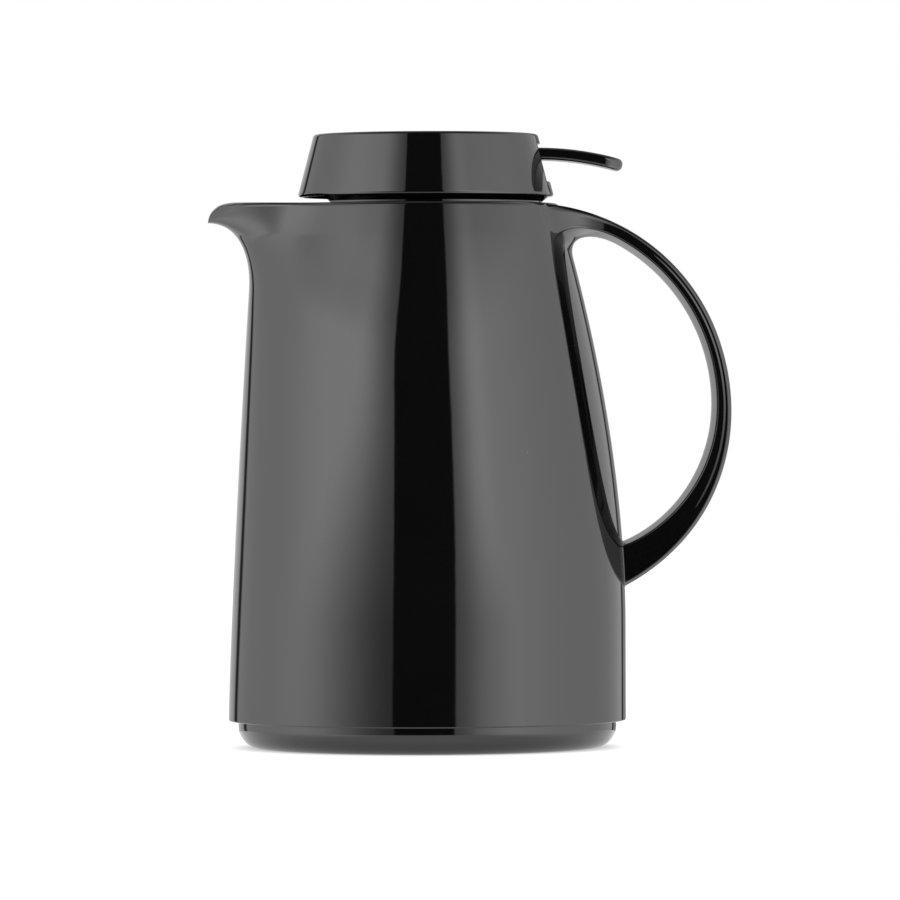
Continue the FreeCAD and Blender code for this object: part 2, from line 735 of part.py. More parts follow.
stopper_ramps = screw_ramps("stopper_ramps", "plug_radius",
                            "neck_bore_radius - lid_ramp_clearance",
                            "lid_ramp_start - ramp_step", "lid_lead", LID_RAMPS)
stopper_body = fused("stopper_body", [stopper_core, stopper_ramps])
stopper_seal = ring("stopper_seal", "nose_radius + pin_gap", "stopper_seal_radius",
                    "neck_shoulder", "nose_top")
lid_gasket = ring("lid_gasket", "lid_gasket_inner_radius", "neck_tube_radius", "ring_top", "drum_under")

# Lid cover, snapped over the drum's flange, with a slot at the back for the lever.

lid_cover = turned("lid_cover", [
    ("0", "lid_ceiling"),
    ("lid_top_radius - lid_wall", "lid_ceiling"),
    ("lid_radius - lid_wall", "lid_rim_height"),
    ("lid_radius", "lid_rim_height", "lid_rim_round"),
    ("lid_top_radius", "lid_height", "lid_edge_round"),
    ("0", "lid_height"),
])
lever_drop = "(lid_radius + lever_pivot_reach) * sin(lever_press_angle)"
pocketed(lid_cover, "lever_slot", outline(lid_cover, "slot_outline", [
    ("-slot_half_width", f"lever_underside - {lever_drop} - slot_clearance"),
    ("slot_half_width", f"lever_underside - {lever_drop} - slot_clearance"),
    ("slot_half_width", "lever_top + slot_clearance / 2"),
    ("-slot_half_width", "lever_top + slot_clearance / 2"),
], "YZ_Plane"), backwards=True)

# Thumb lever: a flat arm that droops outside the lid, with a wide hub on the pin.

bend_set = "lever_bend_radius * tan(lever_droop / 2)"
top_bend = f"lever_bend_start + {bend_set}"
under_bend = "lever_bend_start + (lever_bend_radius - lever_thickness) * tan(lever_droop / 2)"
tip_run = f"({bend_set} + lever_tip_length) * cos(lever_droop)"
tip_fall = f"({bend_set} + lever_tip_length) * sin(lever_droop)"
tip_end = f"{top_bend} + {tip_run}"
hub_front = "-lever_pivot_reach - lever_hub_radius"
thumb_lever = doc.addObject("PartDesign::Body", "thumb_lever")
padded(thumb_lever, "arm", outline(thumb_lever, "arm_outline", [
    ("-lever_pivot_reach", "lever_underside"),
    (under_bend, "lever_underside", "lever_bend_radius - lever_thickness"),
    (f"{tip_end} - lever_thickness * sin(lever_droop)",
     f"lever_top - {tip_fall} - lever_thickness * cos(lever_droop)", "lever_tip_round"),
    (tip_end, f"lever_top - {tip_fall}", "lever_tip_round"),
    (top_bend, "lever_top", "lever_bend_radius"),
    ("-lever_pivot_reach", "lever_top"),
]), "lever_width")
padded(thumb_lever, "hub", outline(thumb_lever, "hub_outline", [
    (hub_front, "pivot_height - lever_hub_radius", "lever_hub_radius - pin_gap"),
    ("-lever_pivot_reach + lever_hub_radius", "pivot_height - lever_hub_radius"),
    ("-lever_pivot_reach + lever_hub_length", "lever_underside"),
    ("-lever_pivot_reach + lever_hub_length", "lever_top"),
    ("-lever_pivot_reach + lever_hub_radius", "pivot_height + lever_hub_radius"),
    (hub_front, "pivot_height + lever_hub_radius", "lever_hub_radius - pin_gap"),
]), "lever_hub_width")
for side, sign in (("left", ""), ("right", "-")):
    pocketed(thumb_lever, f"{side}_thumb_corner", outline(thumb_lever, f"{side}_corner_outline", [
        (f"{tip_end} + lever_width", f"{sign}lever_width"),
        (f"{tip_end} - lever_width", f"{sign}lever_width"),
        (f"{tip_end} - lever_width", f"{sign}lever_width / 2"),
        (tip_end, f"{sign}lever_width / 2", "lever_thumb_round"),
        (tip_end, "0"),
        (f"{tip_end} + lever_width", "0"),
    ], "XY_Plane"), "lid_height * 3")
pin_bore = round_hole(thumb_lever, "pin_bore_outline", "XZ_Plane", "-lever_pivot_reach", "pivot_height",
                      "pivot_pin_radius + pin_gap")
pocketed(thumb_lever, "pin_bore", pin_bore, "lever_hub_width + lever_width")

lever_pin = doc.addObject("Part::Cylinder", "lever_pin")
lever_pin.setExpression("Radius", bound("pivot_pin_radius"))
lever_pin.setExpression("Height", bound("(post_half_gap + post_thickness) * 2"))
lever_pin.Placement = Placement(ORIGIN, Rotation(Vector(1, 0, 0), -90))
lever_pin.setExpression("Placement.Base.x", bound("-lever_pivot_reach"))
lever_pin.setExpression("Placement.Base.y", bound("-post_half_gap - post_thickness"))
lever_pin.setExpression("Placement.Base.z", bound("pivot_height"))

# Valve. The stem hangs in the stopper's guide and carries a plate and a washer under the seat.

valve_stem = turned("valve_stem", [
    ("0", "stem_foot"),
    ("stem_radius", "stem_foot"),
    ("stem_radius", "head_under"),
    ("stem_head_radius", "head_under"),
    ("stem_head_radius", "head_top - stem_head_crown"),
    ("stem_head_radius / 2", "head_top - stem_head_crown / 4"),
    ("0", "head_top"),
])
valve_seal = ring("valve_seal", "stem_bore", "valve_seal_radius", "disc_top", "nose_under")
valve_disc = ring("valve_disc", "stem_bore", "valve_disc_radius", "disc_under", "disc_top")
stem_clip = ring("stem_clip", "stem_bore", "clip_radius", "clip_under", "disc_under")


def arc_from(start, heading, end):
    """An arc that leaves start along a heading and ends at end."""
    chord = end - start
    along = chord.dot(heading) / chord.Length
    rise = heading - chord * (along / chord.Length)
    sag = chord.Length / 2 * sqrt((1 - along) / (1 + along))
    return Part.Arc(start, start + chord * 0.5 + rise.normalize() * sag, end).toShape()


def arc_pair(start, heading, end, leaving):
    """Two arcs that join two points smoothly, with a heading at each."""
    chord, both = end - start, heading + leaving
    slack = 2 * (1 - heading.dot(leaving))
    reach = (sqrt(chord.dot(both) ** 2 + slack * chord.dot(chord)) - chord.dot(both)) / slack
    middle = (start + heading * reach + end - leaving * reach) * 0.5
    return [arc_from(start, heading, middle), arc_from(end, leaving * -1, middle)]


def coil(radius, wire, bottom, top, turns):
    """A spring as one tube along a helix of quarter turns, with its least gap to itself."""
    climb = (top - bottom) / (turns * 2 * pi)

    def point(turn):
        return Vector(radius * cos(turn), radius * sin(turn), bottom + climb * turn)

    def heading(turn):
        return Vector(-radius * sin(turn), radius * cos(turn), climb).normalize()

    quarters = [pi / 2 * step for step in range(int(turns * 4) + 1)]
    edges = []
    for first, last in zip(quarters, quarters[1:]):
        edges += arc_pair(point(first), heading(first), point(last), heading(last))
    section = Part.Wire([Part.makeCircle(wire, point(0), heading(0))])
    tube = Part.Wire(Part.__sortEdges__(edges)).makePipeShell([section], True, False)
    gap = min((point(t + 2 * pi + lean) - point(t)).Length for t in quarters[:5] for lean in (-0.2, 0, 0.2))
    print(f"return spring: least gap between turns {gap - 2 * wire:.2f} mm")
    return tube


spring_end_gap = size("spring_wire_radius + run_gap")
return_spring = shaped("return_spring", coil(
    size("spring_radius"), size("spring_wire_radius"), size("drum_floor_top") + spring_end_gap,
    size("head_under") - spring_end_gap, size("spring_turns")))

NODES = [
    body_shell, handle, flask_outer, flask_inner, flask_spacers, neck_ring, collar_seal, neck_gasket,
    base_cover, base_seal, base_cushion, stopper_body, stopper_seal, lid_gasket, lid_cover,
    thumb_lever, lever_pin, valve_stem, valve_seal, valve_disc, stem_clip, return_spring,
]

doc.recompute()
for item in doc.Objects:
    if "Invalid" in item.State or "Error" in item.State:
        raise RuntimeError(f"{item.Label} failed: {item.State}")
for node in NODES:
    if node.Shape.isNull() or not node.Shape.isValid():
        raise RuntimeError(f"{node.Label} has no valid shape")

os.makedirs("parts", exist_ok=True)
for node in NODES:
    node.Shape.exportStep(f"parts/{node.Label}.step")
    print(f"{node.Label}: {len(node.Shape.Solids)} solid, {node.Shape.Volume:.0f} mm3")
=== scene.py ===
"""The looks of a thermal carafe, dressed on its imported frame. Metres, +Z up, the spout towards -X."""

import bmesh
import bpy
from functools import lru_cache
from math import acos, atan2, cos, hypot, pi, radians, sin, sqrt, tan
from mathutils import Matrix, Quaternion, Vector


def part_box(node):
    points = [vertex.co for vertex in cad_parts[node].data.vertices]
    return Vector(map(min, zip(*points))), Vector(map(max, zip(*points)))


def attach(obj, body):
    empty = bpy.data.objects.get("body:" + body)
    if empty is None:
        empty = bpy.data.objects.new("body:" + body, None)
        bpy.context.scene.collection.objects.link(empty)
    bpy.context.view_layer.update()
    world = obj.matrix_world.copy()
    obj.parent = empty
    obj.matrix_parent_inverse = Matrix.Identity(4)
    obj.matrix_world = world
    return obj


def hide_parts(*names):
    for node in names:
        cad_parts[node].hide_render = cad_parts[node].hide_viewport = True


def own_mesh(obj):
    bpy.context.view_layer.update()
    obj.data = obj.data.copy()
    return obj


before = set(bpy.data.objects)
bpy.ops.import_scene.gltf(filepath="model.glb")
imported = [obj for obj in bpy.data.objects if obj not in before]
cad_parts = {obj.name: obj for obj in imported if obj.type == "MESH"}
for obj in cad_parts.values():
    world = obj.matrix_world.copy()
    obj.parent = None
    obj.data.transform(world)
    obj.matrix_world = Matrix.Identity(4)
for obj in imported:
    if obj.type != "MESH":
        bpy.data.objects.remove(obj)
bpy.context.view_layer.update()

# Casing: the jug's outer skin with its pouring beak, a thick-walled moulding in glossy black plastic.
# A deck closes it below the rim and holds the neck ring, and what is poured runs over it to the beak.
# Three screw ramps inside its foot hold the base cover.

MM = 0.001
casing_low, casing_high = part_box("body_shell")
CASING_FOOT = casing_low.z
RIM_HEIGHT = casing_high.z - 0.3 * MM
CASING_RADIUS = 69.5 * MM
CASING_WALL = 2.5 * MM
RIM_RADIUS = 46.2 * MM
STRAIGHT_HEIGHT = 45 * MM
BACK_TAPER = 1.84
WAIST_INSET = 7.5 * MM
FRONT_TAPER = 1.25
LIP_ROLL = 6.5 * MM
LIP_OVERHANG = 7.2 * MM
LIP_SHARPNESS = 90
LIP_LIFT = 0.6 * MM
BEAK_RISE = 23.9 * MM
BEAK_BEND = 2.2
BEAK_BLEND = 60 * MM
BEAK_SHARPNESS = 28
BODY_ROUNDNESS = 5
BASIN_DEPTH = 19.4 * MM
DECK_WALL = 3 * MM
NECK_HOLE_RADIUS = 38.5 * MM
RIM_ROUND = 1.0 * MM
FOOT_EDGE_ROUND = 0.5 * MM
EDGE_GUARD = 0.15 * MM
CASING_SEGMENTS = 192
BEAK_REACH = -casing_low.x
BEAK_HEIGHT = RIM_HEIGHT - LIP_ROLL
WAIST_HEIGHT = BEAK_HEIGHT - BEAK_RISE
DECK_HEIGHT = RIM_HEIGHT - BASIN_DEPTH


def back_radius(height):
    """Radius of the casing's round back."""
    rise = max(0, height - STRAIGHT_HEIGHT) / (RIM_HEIGHT - STRAIGHT_HEIGHT)
    return CASING_RADIUS - (CASING_RADIUS - RIM_RADIUS) * rise ** BACK_TAPER


def front_reach(height):
    """Reach of the casing's front without its beak."""
    rise = max(0, height - CASING_FOOT) / (WAIST_HEIGHT - CASING_FOOT)
    return CASING_RADIUS - WAIST_INSET * rise ** FRONT_TAPER


def beak_level(bend, inset=0):
    """Height, front reach and back radius where the beak's underside has bent by an angle in degrees."""
    upright = sin(radians(bend)) ** (2 / BEAK_BEND)
    level = cos(radians(bend)) ** (2 / BEAK_BEND)
    height = WAIST_HEIGHT + BEAK_RISE * upright
    reach = front_reach(height) + (BEAK_REACH - front_reach(BEAK_HEIGHT)) * (1 - level)
    height += inset * sin(radians(bend))
    return height, reach - inset * cos(radians(bend)), back_radius(height) - inset


def lip_level(roll):
    """The same on the lip, from the tip at 0 to the crest at 90 degrees, and its share of the curl."""
    height = BEAK_HEIGHT + LIP_ROLL * sin(radians(roll))
    over = max(0, height - RIM_HEIGHT + RIM_ROUND)
    rounding = RIM_ROUND - sqrt(max(0, RIM_ROUND ** 2 - over ** 2))
    curl = 1 - cos(radians(roll))
    return height, BEAK_REACH - rounding, back_radius(height) - rounding, curl


def wall_level(height, inset=0):
    """The same on the plain wall below the beak."""
    return height, front_reach(height) - inset, back_radius(height) - inset


def skin_radius(turn, height, reach, back):
    """Radius of a level section at a turn from the spout: round at the back, drawn out at the front."""
    rise = (height - BEAK_HEIGHT + BEAK_BLEND) / BEAK_BLEND
    sharpness = BODY_ROUNDNESS + (BEAK_SHARPNESS - BODY_ROUNDNESS) * min(max(rise, 0), 1) ** 3
    return back + (reach - back) * ((1 + cos(turn)) / 2) ** sharpness


def steps(first, last, count):
    """Evenly spaced values from the first to the last."""
    return [first + (last - first) * step / count for step in range(count + 1)]


def circle_loop(mesh, segments, radius=1.0):
    """A circle's vertices and edges, to start a skin from."""
    ring = bmesh.ops.create_circle(mesh, segments=segments, radius=radius)["verts"]
    return ring, list({edge for vert in ring for edge in vert.link_edges})


def pulled_ring(mesh, edges):
    """Extrudes a loop of edges in place and gives the new loop's vertices and edges."""
    made = bmesh.ops.extrude_edge_only(mesh, edges=edges)["geom"]
    verts = [item for item in made if isinstance(item, bmesh.types.BMVert)]
    fresh = set(verts)
    loop = [item for item in made if isinstance(item, bmesh.types.BMEdge) and fresh.issuperset(item.verts)]
    return verts, loop


def set_section(verts, height, reach, back, curl=0):
    """Moves a ring's vertices to a level section, each on its own ray from the axis.

    By its share of the curl, a section of the lip is drawn in and lifted near the beak's tip.
    """
    for vert in verts:
        turn = atan2(vert.co.y, -vert.co.x)
        ahead = (1 + cos(turn)) / 2
        radius = skin_radius(turn, height, reach, back) - LIP_OVERHANG * curl * ahead ** LIP_SHARPNESS
        lift = LIP_LIFT * curl * ahead ** BEAK_SHARPNESS
        vert.co = (-radius * cos(turn), radius * sin(turn), height + lift)


RAMP_ROOT_WIDTH = 2.4 * MM
RAMP_CREST_WIDTH = 1.4 * MM
RAMP_DEPTH = 2.4 * MM
RAMP_BITE = 0.6 * MM
RAMP_SWEEP = radians(38)
RAMP_STEPS = 16


def add_screw_ramps(mesh, wall, crest, height, lead, count):
    """Short screw ramps on a round wall: trapeziums spun up a helix, with their roots sunk in the wall."""
    root = wall - RAMP_BITE if crest > wall else wall + RAMP_BITE
    half_root, half_crest = RAMP_ROOT_WIDTH / 2, RAMP_CREST_WIDTH / 2
    corners = [(root, -half_root), (crest, -half_crest), (crest, half_crest), (root, half_root)]
    climb = Vector((0, 0, lead * RAMP_SWEEP / (2 * pi) / RAMP_STEPS))
    for start in range(count):
        turn = Matrix.Rotation(2 * pi * start / count, 3, "Z")
        section = mesh.faces.new([mesh.verts.new(turn @ Vector((r, 0, height + z))) for r, z in corners])
        bmesh.ops.spin(mesh, geom=[section], axis=(0, 0, 1), dvec=climb, angle=RAMP_SWEEP, steps=RAMP_STEPS)


SHARP_ANGLE = radians(38)
MERGE_DISTANCE = 1e-7


def new_object(name, mesh, material):
    """Turns a finished bmesh into an object at the origin, smooth but for its sharp edges."""
    bmesh.ops.remove_doubles(mesh, verts=mesh.verts, dist=MERGE_DISTANCE)
    bmesh.ops.recalc_face_normals(mesh, faces=mesh.faces)
    for face in mesh.faces:
        face.smooth = True
    for edge in mesh.edges:
        edge.smooth = edge.calc_face_angle(0) < SHARP_ANGLE
    data = bpy.data.meshes.new(name)
    mesh.to_mesh(data)
    mesh.free()
    data.materials.append(material)
    made = bpy.data.objects.new(name, data)
    bpy.context.scene.collection.objects.link(made)
    return made


def new_piece(name, mesh, material, body, node):
    """A piece of the jug that rides on a body and stands for a node."""
    piece = new_object(name, mesh, material)
    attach(piece, body)
    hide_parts(node)
    return piece


class Tone:
    """A value or colour on its way through a material's nodes. Sums and products add Math nodes."""

    def __init__(self, tree, socket=None):
        self.tree = tree
        self.socket = socket

    def node(self, kind, settings=None, inputs=None, output=0):
        """Adds a node: its settings first, then the values or links of its sockets."""
        made = self.tree.nodes.new("ShaderNode" + kind)
        for name, value in (settings or {}).items():
            if name == "stops":
                ramp = made.color_ramp
                while len(ramp.elements) < len(value):
                    ramp.elements.new(1)
                for element, (position, grey) in zip(ramp.elements, value):
                    element.position = position
                    element.color = (grey, grey, grey, 1)
            else:
                setattr(made, name, value)
        for name, value in (inputs or {}).items():
            if isinstance(value, Tone):
                self.tree.links.new(value.socket, made.inputs[name])
            else:
                made.inputs[name].default_value = value
        return Tone(self.tree, made.outputs[output])

    def math(self, operation, first, second):
        """A Math node on two values."""
        return self.node("Math", {"operation": operation}, {0: first, 1: second})

    def __add__(self, other):
        return self.math("ADD", self, other)

    def __radd__(self, other):
        return self.math("ADD", other, self)

    def __sub__(self, other):
        return self.math("SUBTRACT", self, other)

    def __rsub__(self, other):
        return self.math("SUBTRACT", other, self)

    def __mul__(self, other):
        return self.math("MULTIPLY", self, other)

    def __rmul__(self, other):
        return self.math("MULTIPLY", other, self)

    def over(self, limit):
        """1 where the value is over a limit, and 0 elsewhere."""
        return self.math("GREATER_THAN", self, limit)

    def spread(self, low, high, first=0.0, last=1.0):
        """An even slide from a first to a last value while this value goes from low to high."""
        settings = {"interpolation_type": "SMOOTHSTEP"}
        return self.node("MapRange", settings, {0: self, 1: low, 2: high, 3: first, 4: last})

    def mixed(self, dark, light):
        """A colour between two others, with this value as the share of the second."""
        return self.node("Mix", {"data_type": "RGBA"}, {0: self, 6: dark, 7: light}, 2)


def finish(name, constants, recipe):
    """A material with fixed sockets, and with others that its recipe works out over the surface."""
    material = bpy.data.materials.new(name)
    material.use_nodes = True
    tree = material.node_tree
    surface = tree.nodes["Principled BSDF"]
    for socket, value in constants.items():
        surface.inputs[socket].default_value = value
    for socket, tone in recipe(Tone(tree).node("TexCoord", output="Object")).items():
        tree.links.new(tone.socket, surface.inputs[socket])
    return material


def noise(place, scale, detail=2, stretch=(1, 1, 1)):
    """A soft random pattern around 0.5, at so many waves in a metre."""
    mapped = place.node("Mapping", inputs={"Vector": place, "Scale": stretch})
    return place.node("TexNoise", inputs={"Vector": mapped, "Scale": scale, "Detail": detail})


def specks(place, spacing, radius, share):
    """Small round specks in a random share of cells."""
    settings = {"feature": "F1"}
    inputs = {"Vector": place, "Scale": 1 / spacing}
    near = place.node("TexVoronoi", settings, inputs)
    cell_colour = place.node("TexVoronoi", settings, inputs, "Color")
    chance = place.node("SeparateColor", inputs={"Color": cell_colour})
    return (1 - near.over(radius / spacing)) * chance.over(1 - share)


def bumps(place, height, depth, strength=1.0):
    """A normal that is tilted by a pattern of low bumps."""
    return place.node("Bump", inputs={"Strength": strength, "Distance": depth, "Height": height})


BLACK = (0.0017, 0.0017, 0.0018, 1)
SOFT_BLACK = (0.003, 0.003, 0.0032, 1)
DUST_GREY = (0.16, 0.16, 0.155, 1)


def polished_moulding(place):
    """Deep black, hardly wavy from the mould, with faint rubbing and a few specks of dust."""
    dust = specks(place, spacing=7 * MM, radius=0.16 * MM, share=0.06)
    rubbing = noise(place, 55, detail=3) * noise(place, 900, stretch=(1, 1, 0.15))
    tint = noise(place, 30).mixed(BLACK, SOFT_BLACK)
    wave = noise(place, 130, detail=1) + 0.05 * noise(place, 2600, detail=1)
    return {
        "Base Color": dust.mixed(tint, DUST_GREY),
        "Roughness": 0.025 + 0.07 * rubbing + 0.4 * dust,
        "Normal": bumps(place, wave, depth=0.2 * MM, strength=0.06),
    }


glossy_black = finish("glossy_black", {"IOR": 1.65}, polished_moulding)

FOOT_EDGE_STEPS = 6
WALL_RINGS = 48
BEAK_RINGS = 24
LIP_RINGS = 12
CREST_STEPS = 4
BASIN_BENDS = (68, 26)
BASIN_RINGS = 8
BASIN_CORNER = ((0.3 * MM, 0.5 * MM), (0, 1.4 * MM))
HOLE_EDGE = ((0, 0.5 * MM), (0.4 * MM, 0), (DECK_WALL, 0))
UNDER_DECK_BENDS = (15, 8)
INNER_RINGS = 12
foot_top = CASING_FOOT + FOOT_EDGE_ROUND
casing_levels = []
for angle in steps(0, 90, FOOT_EDGE_STEPS):
    edge_inset = FOOT_EDGE_ROUND * (1 - sin(radians(angle)))
    casing_levels.append(wall_level(foot_top - FOOT_EDGE_ROUND * cos(radians(angle)), edge_inset))
casing_levels += [wall_level(height) for height in steps(foot_top + EDGE_GUARD, WAIST_HEIGHT, WALL_RINGS)]
casing_levels += [beak_level(bend) for bend in steps(0, 90, BEAK_RINGS)[1:]]
lip_start = len(casing_levels)
casing_levels += [lip_level(roll) for roll in steps(0, 90, LIP_RINGS)[1:]]
crest_height, crest_reach, crest_back, crest_curl = lip_level(90)
for angle in steps(0, 90, CREST_STEPS):
    drop = RIM_ROUND / 2 * (1 - cos(radians(angle)))
    inset = CASING_WALL - 2 * RIM_ROUND + RIM_ROUND / 2 * (1 + sin(radians(angle)))
    casing_levels.append((crest_height - drop, crest_reach - inset, crest_back - inset, crest_curl))
casing_levels += [beak_level(bend, CASING_WALL) for bend in steps(*BASIN_BENDS, BASIN_RINGS)]
basin_reach, basin_back = casing_levels[-1][1:]
for rise, inset in BASIN_CORNER:
    casing_levels.append((DECK_HEIGHT + rise, basin_reach - inset, basin_back - inset))
for drop, inset in HOLE_EDGE:
    casing_levels.append((DECK_HEIGHT - drop, NECK_HOLE_RADIUS + inset, NECK_HOLE_RADIUS + inset))
casing_levels += [beak_level(bend, CASING_WALL) for bend in UNDER_DECK_BENDS]
inner_heights = steps(WAIST_HEIGHT, CASING_FOOT, INNER_RINGS)
casing_levels += [wall_level(height, CASING_WALL) for height in inner_heights]
casing_levels.append(casing_levels[0])

FLANK_RINGS_BELOW = 11
FLANK_RINGS_ABOVE = 8
FLANK_PASSES = 160
CASING_RAMP_HEIGHT = CASING_FOOT + 4.7 * MM
BASE_LEAD = 30 * MM
BASE_RAMPS = 3
casing_bore = CASING_RADIUS - CASING_WALL
mesh = bmesh.new()
ring, loop = circle_loop(mesh, CASING_SEGMENTS)
set_section(ring, *casing_levels[0])
rings = [ring]
for level in casing_levels[1:]:
    ring, loop = pulled_ring(mesh, loop)
    set_section(ring, *level)
    rings.append(sorted(ring, key=lambda vert: atan2(vert.co.y, vert.co.x)))
# The lip's lower edge is sharp only at the beak's tip: along the flanks its rings are evened out.
for column in zip(*rings[lip_start - FLANK_RINGS_BELOW:lip_start + FLANK_RINGS_ABOVE]):
    turn = atan2(column[0].co.y, -column[0].co.x)
    share = 0.5 * (1 - ((1 + cos(turn)) / 2) ** LIP_SHARPNESS)
    for _ in range(FLANK_PASSES):
        for below, vert, above in zip(column, column[1:], column[2:]):
            vert.co = vert.co.lerp((below.co + above.co) / 2, share)
add_screw_ramps(mesh, casing_bore, casing_bore - RAMP_DEPTH, CASING_RAMP_HEIGHT, BASE_LEAD, BASE_RAMPS)
new_piece("casing", mesh, glossy_black, "jug", "body_shell")

# Handle: a strap bent round one centre, moulded by itself in the same glossy black.
# It is welded to the casing. Its root flows out of the rim in a wide fillet,
# and its thick foot meets the wall in a small one.

STRAP_CENTRE = Vector((36 * MM, 0, 120 * MM))
STRAP_OUTER_RADIUS = 69.95 * MM
STRAP_INNER_RADIUS = 63.55 * MM
STRAP_HALF_WIDTH = 10.5 * MM
STRAP_OUTER_ROUND = 1.5 * MM
STRAP_INNER_ROUND = 0.8 * MM
STRAP_INNER_TILT = radians(10.5)
STRAP_STEP_PLACE = 0.35
STRAP_STEP_RUN = 0.15
STRAP_STEP_DEPTH = 0.2 * MM
STRAP_FOOT_ANGLE = 58
STRAP_FOOT_TAPER = 2.2 * MM
STRAP_OUTER_SWELL = 1.8 * MM
STRAP_INNER_SWELL = 6 * MM
STRAP_RINGS = 68
FOOT_FILLET_STEPS = 4
FOOT_SEARCH = (-80, -20)
FOOT_FILLET = 0.5 * MM
FOOT_SINK = 0.4 * MM
ROOT_ANGLE = 62
ROOT_WIDENING = 13 * MM
ROOT_DEEPENING = 11.5 * MM
ROOT_SINK = 0.5 * MM
ROOT_RINGS = 24
ROOT_SEARCH = (95, ROOT_ANGLE - 5)
ROOT_GAP_FALL = 2.4
ROOT_FLARE_RISE = 1.5
ROOT_CAP_SHARES = (0.6, 0.3)
SEARCH_HALVINGS = 24


def eased(value, first=0, last=1):
    """How far a value has come from the first to the last, as a share that starts and ends gently."""
    share = min(max((value - first) / (last - first), 0), 1)
    return share * share * (3 - 2 * share)


@lru_cache(maxsize=64)
def strap_outline(thickness, half_width, step_depth):
    """Half the strap's section, outer to inner middle: places inwards and sideways, and normals.

    The outer edges are round, a shallow step runs along each side, and the inner face falls off sideways.
    """
    rim_width = half_width - step_depth
    points = [(0, share * (rim_width - STRAP_OUTER_ROUND), 0) for share in steps(0, 1, 4)[:-1]]
    for angle in steps(0, pi / 2, 6):
        side = rim_width - STRAP_OUTER_ROUND * (1 - sin(angle))
        points.append((STRAP_OUTER_ROUND * (1 - cos(angle)), side, angle))
    run = STRAP_STEP_RUN * thickness
    for share in steps(0, 1, 8):
        lean = 6 * share * (1 - share) * step_depth / run
        place = STRAP_STEP_PLACE * thickness + run * (share - 0.5)
        points.append((place, rim_width + step_depth * eased(share), pi / 2 - lean))
    corner = half_width - STRAP_INNER_ROUND
    slope_rise = (corner + STRAP_INNER_ROUND * sin(STRAP_INNER_TILT)) * tan(STRAP_INNER_TILT)
    corner_place = thickness - slope_rise - STRAP_INNER_ROUND * cos(STRAP_INNER_TILT)
    last_place = points[-1][0]
    for share in (0.33, 0.67):
        points.append((last_place + (corner_place - last_place) * share, half_width, pi / 2))
    for angle in steps(pi / 2, pi - STRAP_INNER_TILT, 6):
        side = corner + STRAP_INNER_ROUND * sin(angle)
        points.append((corner_place - STRAP_INNER_ROUND * cos(angle), side, angle))
    edge_place, edge_side, edge_angle = points[-1]
    for share in (0.2, 0.4, 0.6, 0.8, 1):
        ridge = eased(share, 0.6, 1)
        place = edge_place + slope_rise * (share - 0.06 * ridge)
        points.append((place, edge_side * (1 - share), edge_angle + STRAP_INNER_TILT * ridge))
    return points


def strap_size(angle):
    """Outer radius, thickness, half width and side step's depth at an angle above level."""
    down = max(0, -angle) / STRAP_FOOT_ANGLE
    outer = STRAP_OUTER_RADIUS + STRAP_OUTER_SWELL * eased(angle, 20, -40)
    inner = STRAP_INNER_RADIUS - STRAP_INNER_SWELL * down ** 2
    half_width = STRAP_HALF_WIDTH - STRAP_FOOT_TAPER * eased(angle, -10, -60)
    fading = eased(angle, -45, -30) * eased(angle, ROOT_ANGLE, ROOT_ANGLE - 20)
    return outer, outer - inner, half_width, STRAP_STEP_DEPTH * fading


STRAP_HALF_POINTS = len(strap_outline(*strap_size(0)[1:]))
STRAP_POINTS = 2 * STRAP_HALF_POINTS - 2


def strap_point(number, angle, growth=0, flare=0):
    """A numbered point of the strap at an angle above level, grown outwards or flared as at the root."""
    outer, thickness, half_width, step_depth = strap_size(angle)
    mirrored = number >= STRAP_HALF_POINTS
    outline = strap_outline(thickness, half_width, step_depth)
    place, side, normal = outline[STRAP_POINTS - number if mirrored else number]
    reach = outer - place * (1 + flare * ROOT_DEEPENING / thickness) + growth * cos(normal)
    side = side * (1 + flare * ROOT_WIDENING / half_width) + growth * sin(normal)
    ray = Vector((cos(radians(angle)), 0, sin(radians(angle))))
    return STRAP_CENTRE + reach * ray + Vector((0, -side if mirrored else side, 0))


def wall_gap(point):
    """How far a point stands off the casing's back."""
    return hypot(point.x, point.y) - back_radius(point.z)


def point_off_wall(number, inside, outside, gap, growth=0, flare=0):
    """A numbered point of the strap where it stands off the casing by a gap, and its angle there."""
    for _ in range(SEARCH_HALVINGS):
        middle = (inside + outside) / 2
        if wall_gap(strap_point(number, middle, growth, flare)) > gap:
            outside = middle
        else:
            inside = middle
    return strap_point(number, middle, growth, flare), middle


mesh = bmesh.new()
number_layer = mesh.verts.layers.int.new("section_point")
ring, loop = circle_loop(mesh, STRAP_POINTS)
foot_angles = {}
for number, vert in enumerate(ring):
    vert[number_layer] = number
    vert.co = point_off_wall(number, *FOOT_SEARCH, -FOOT_SINK, FOOT_FILLET)[0]
bmesh.ops.edgeloop_fill(mesh, edges=loop)
for turn in steps(0, pi / 2, FOOT_FILLET_STEPS):
    ring, loop = pulled_ring(mesh, loop)
    gap, growth = FOOT_FILLET * (1 - cos(turn)), FOOT_FILLET * (1 - sin(turn))
    for vert in ring:
        number = vert[number_layer]
        vert.co, foot_angles[number] = point_off_wall(number, *FOOT_SEARCH, gap, growth)
for share in steps(0, 1, STRAP_RINGS)[1:]:
    ring, loop = pulled_ring(mesh, loop)
    for vert in ring:
        foot_angle = foot_angles[vert[number_layer]]
        vert.co = strap_point(vert[number_layer], foot_angle + (ROOT_ANGLE - foot_angle) * share)
root_gaps = {vert[number_layer]: wall_gap(vert.co) for vert in ring}
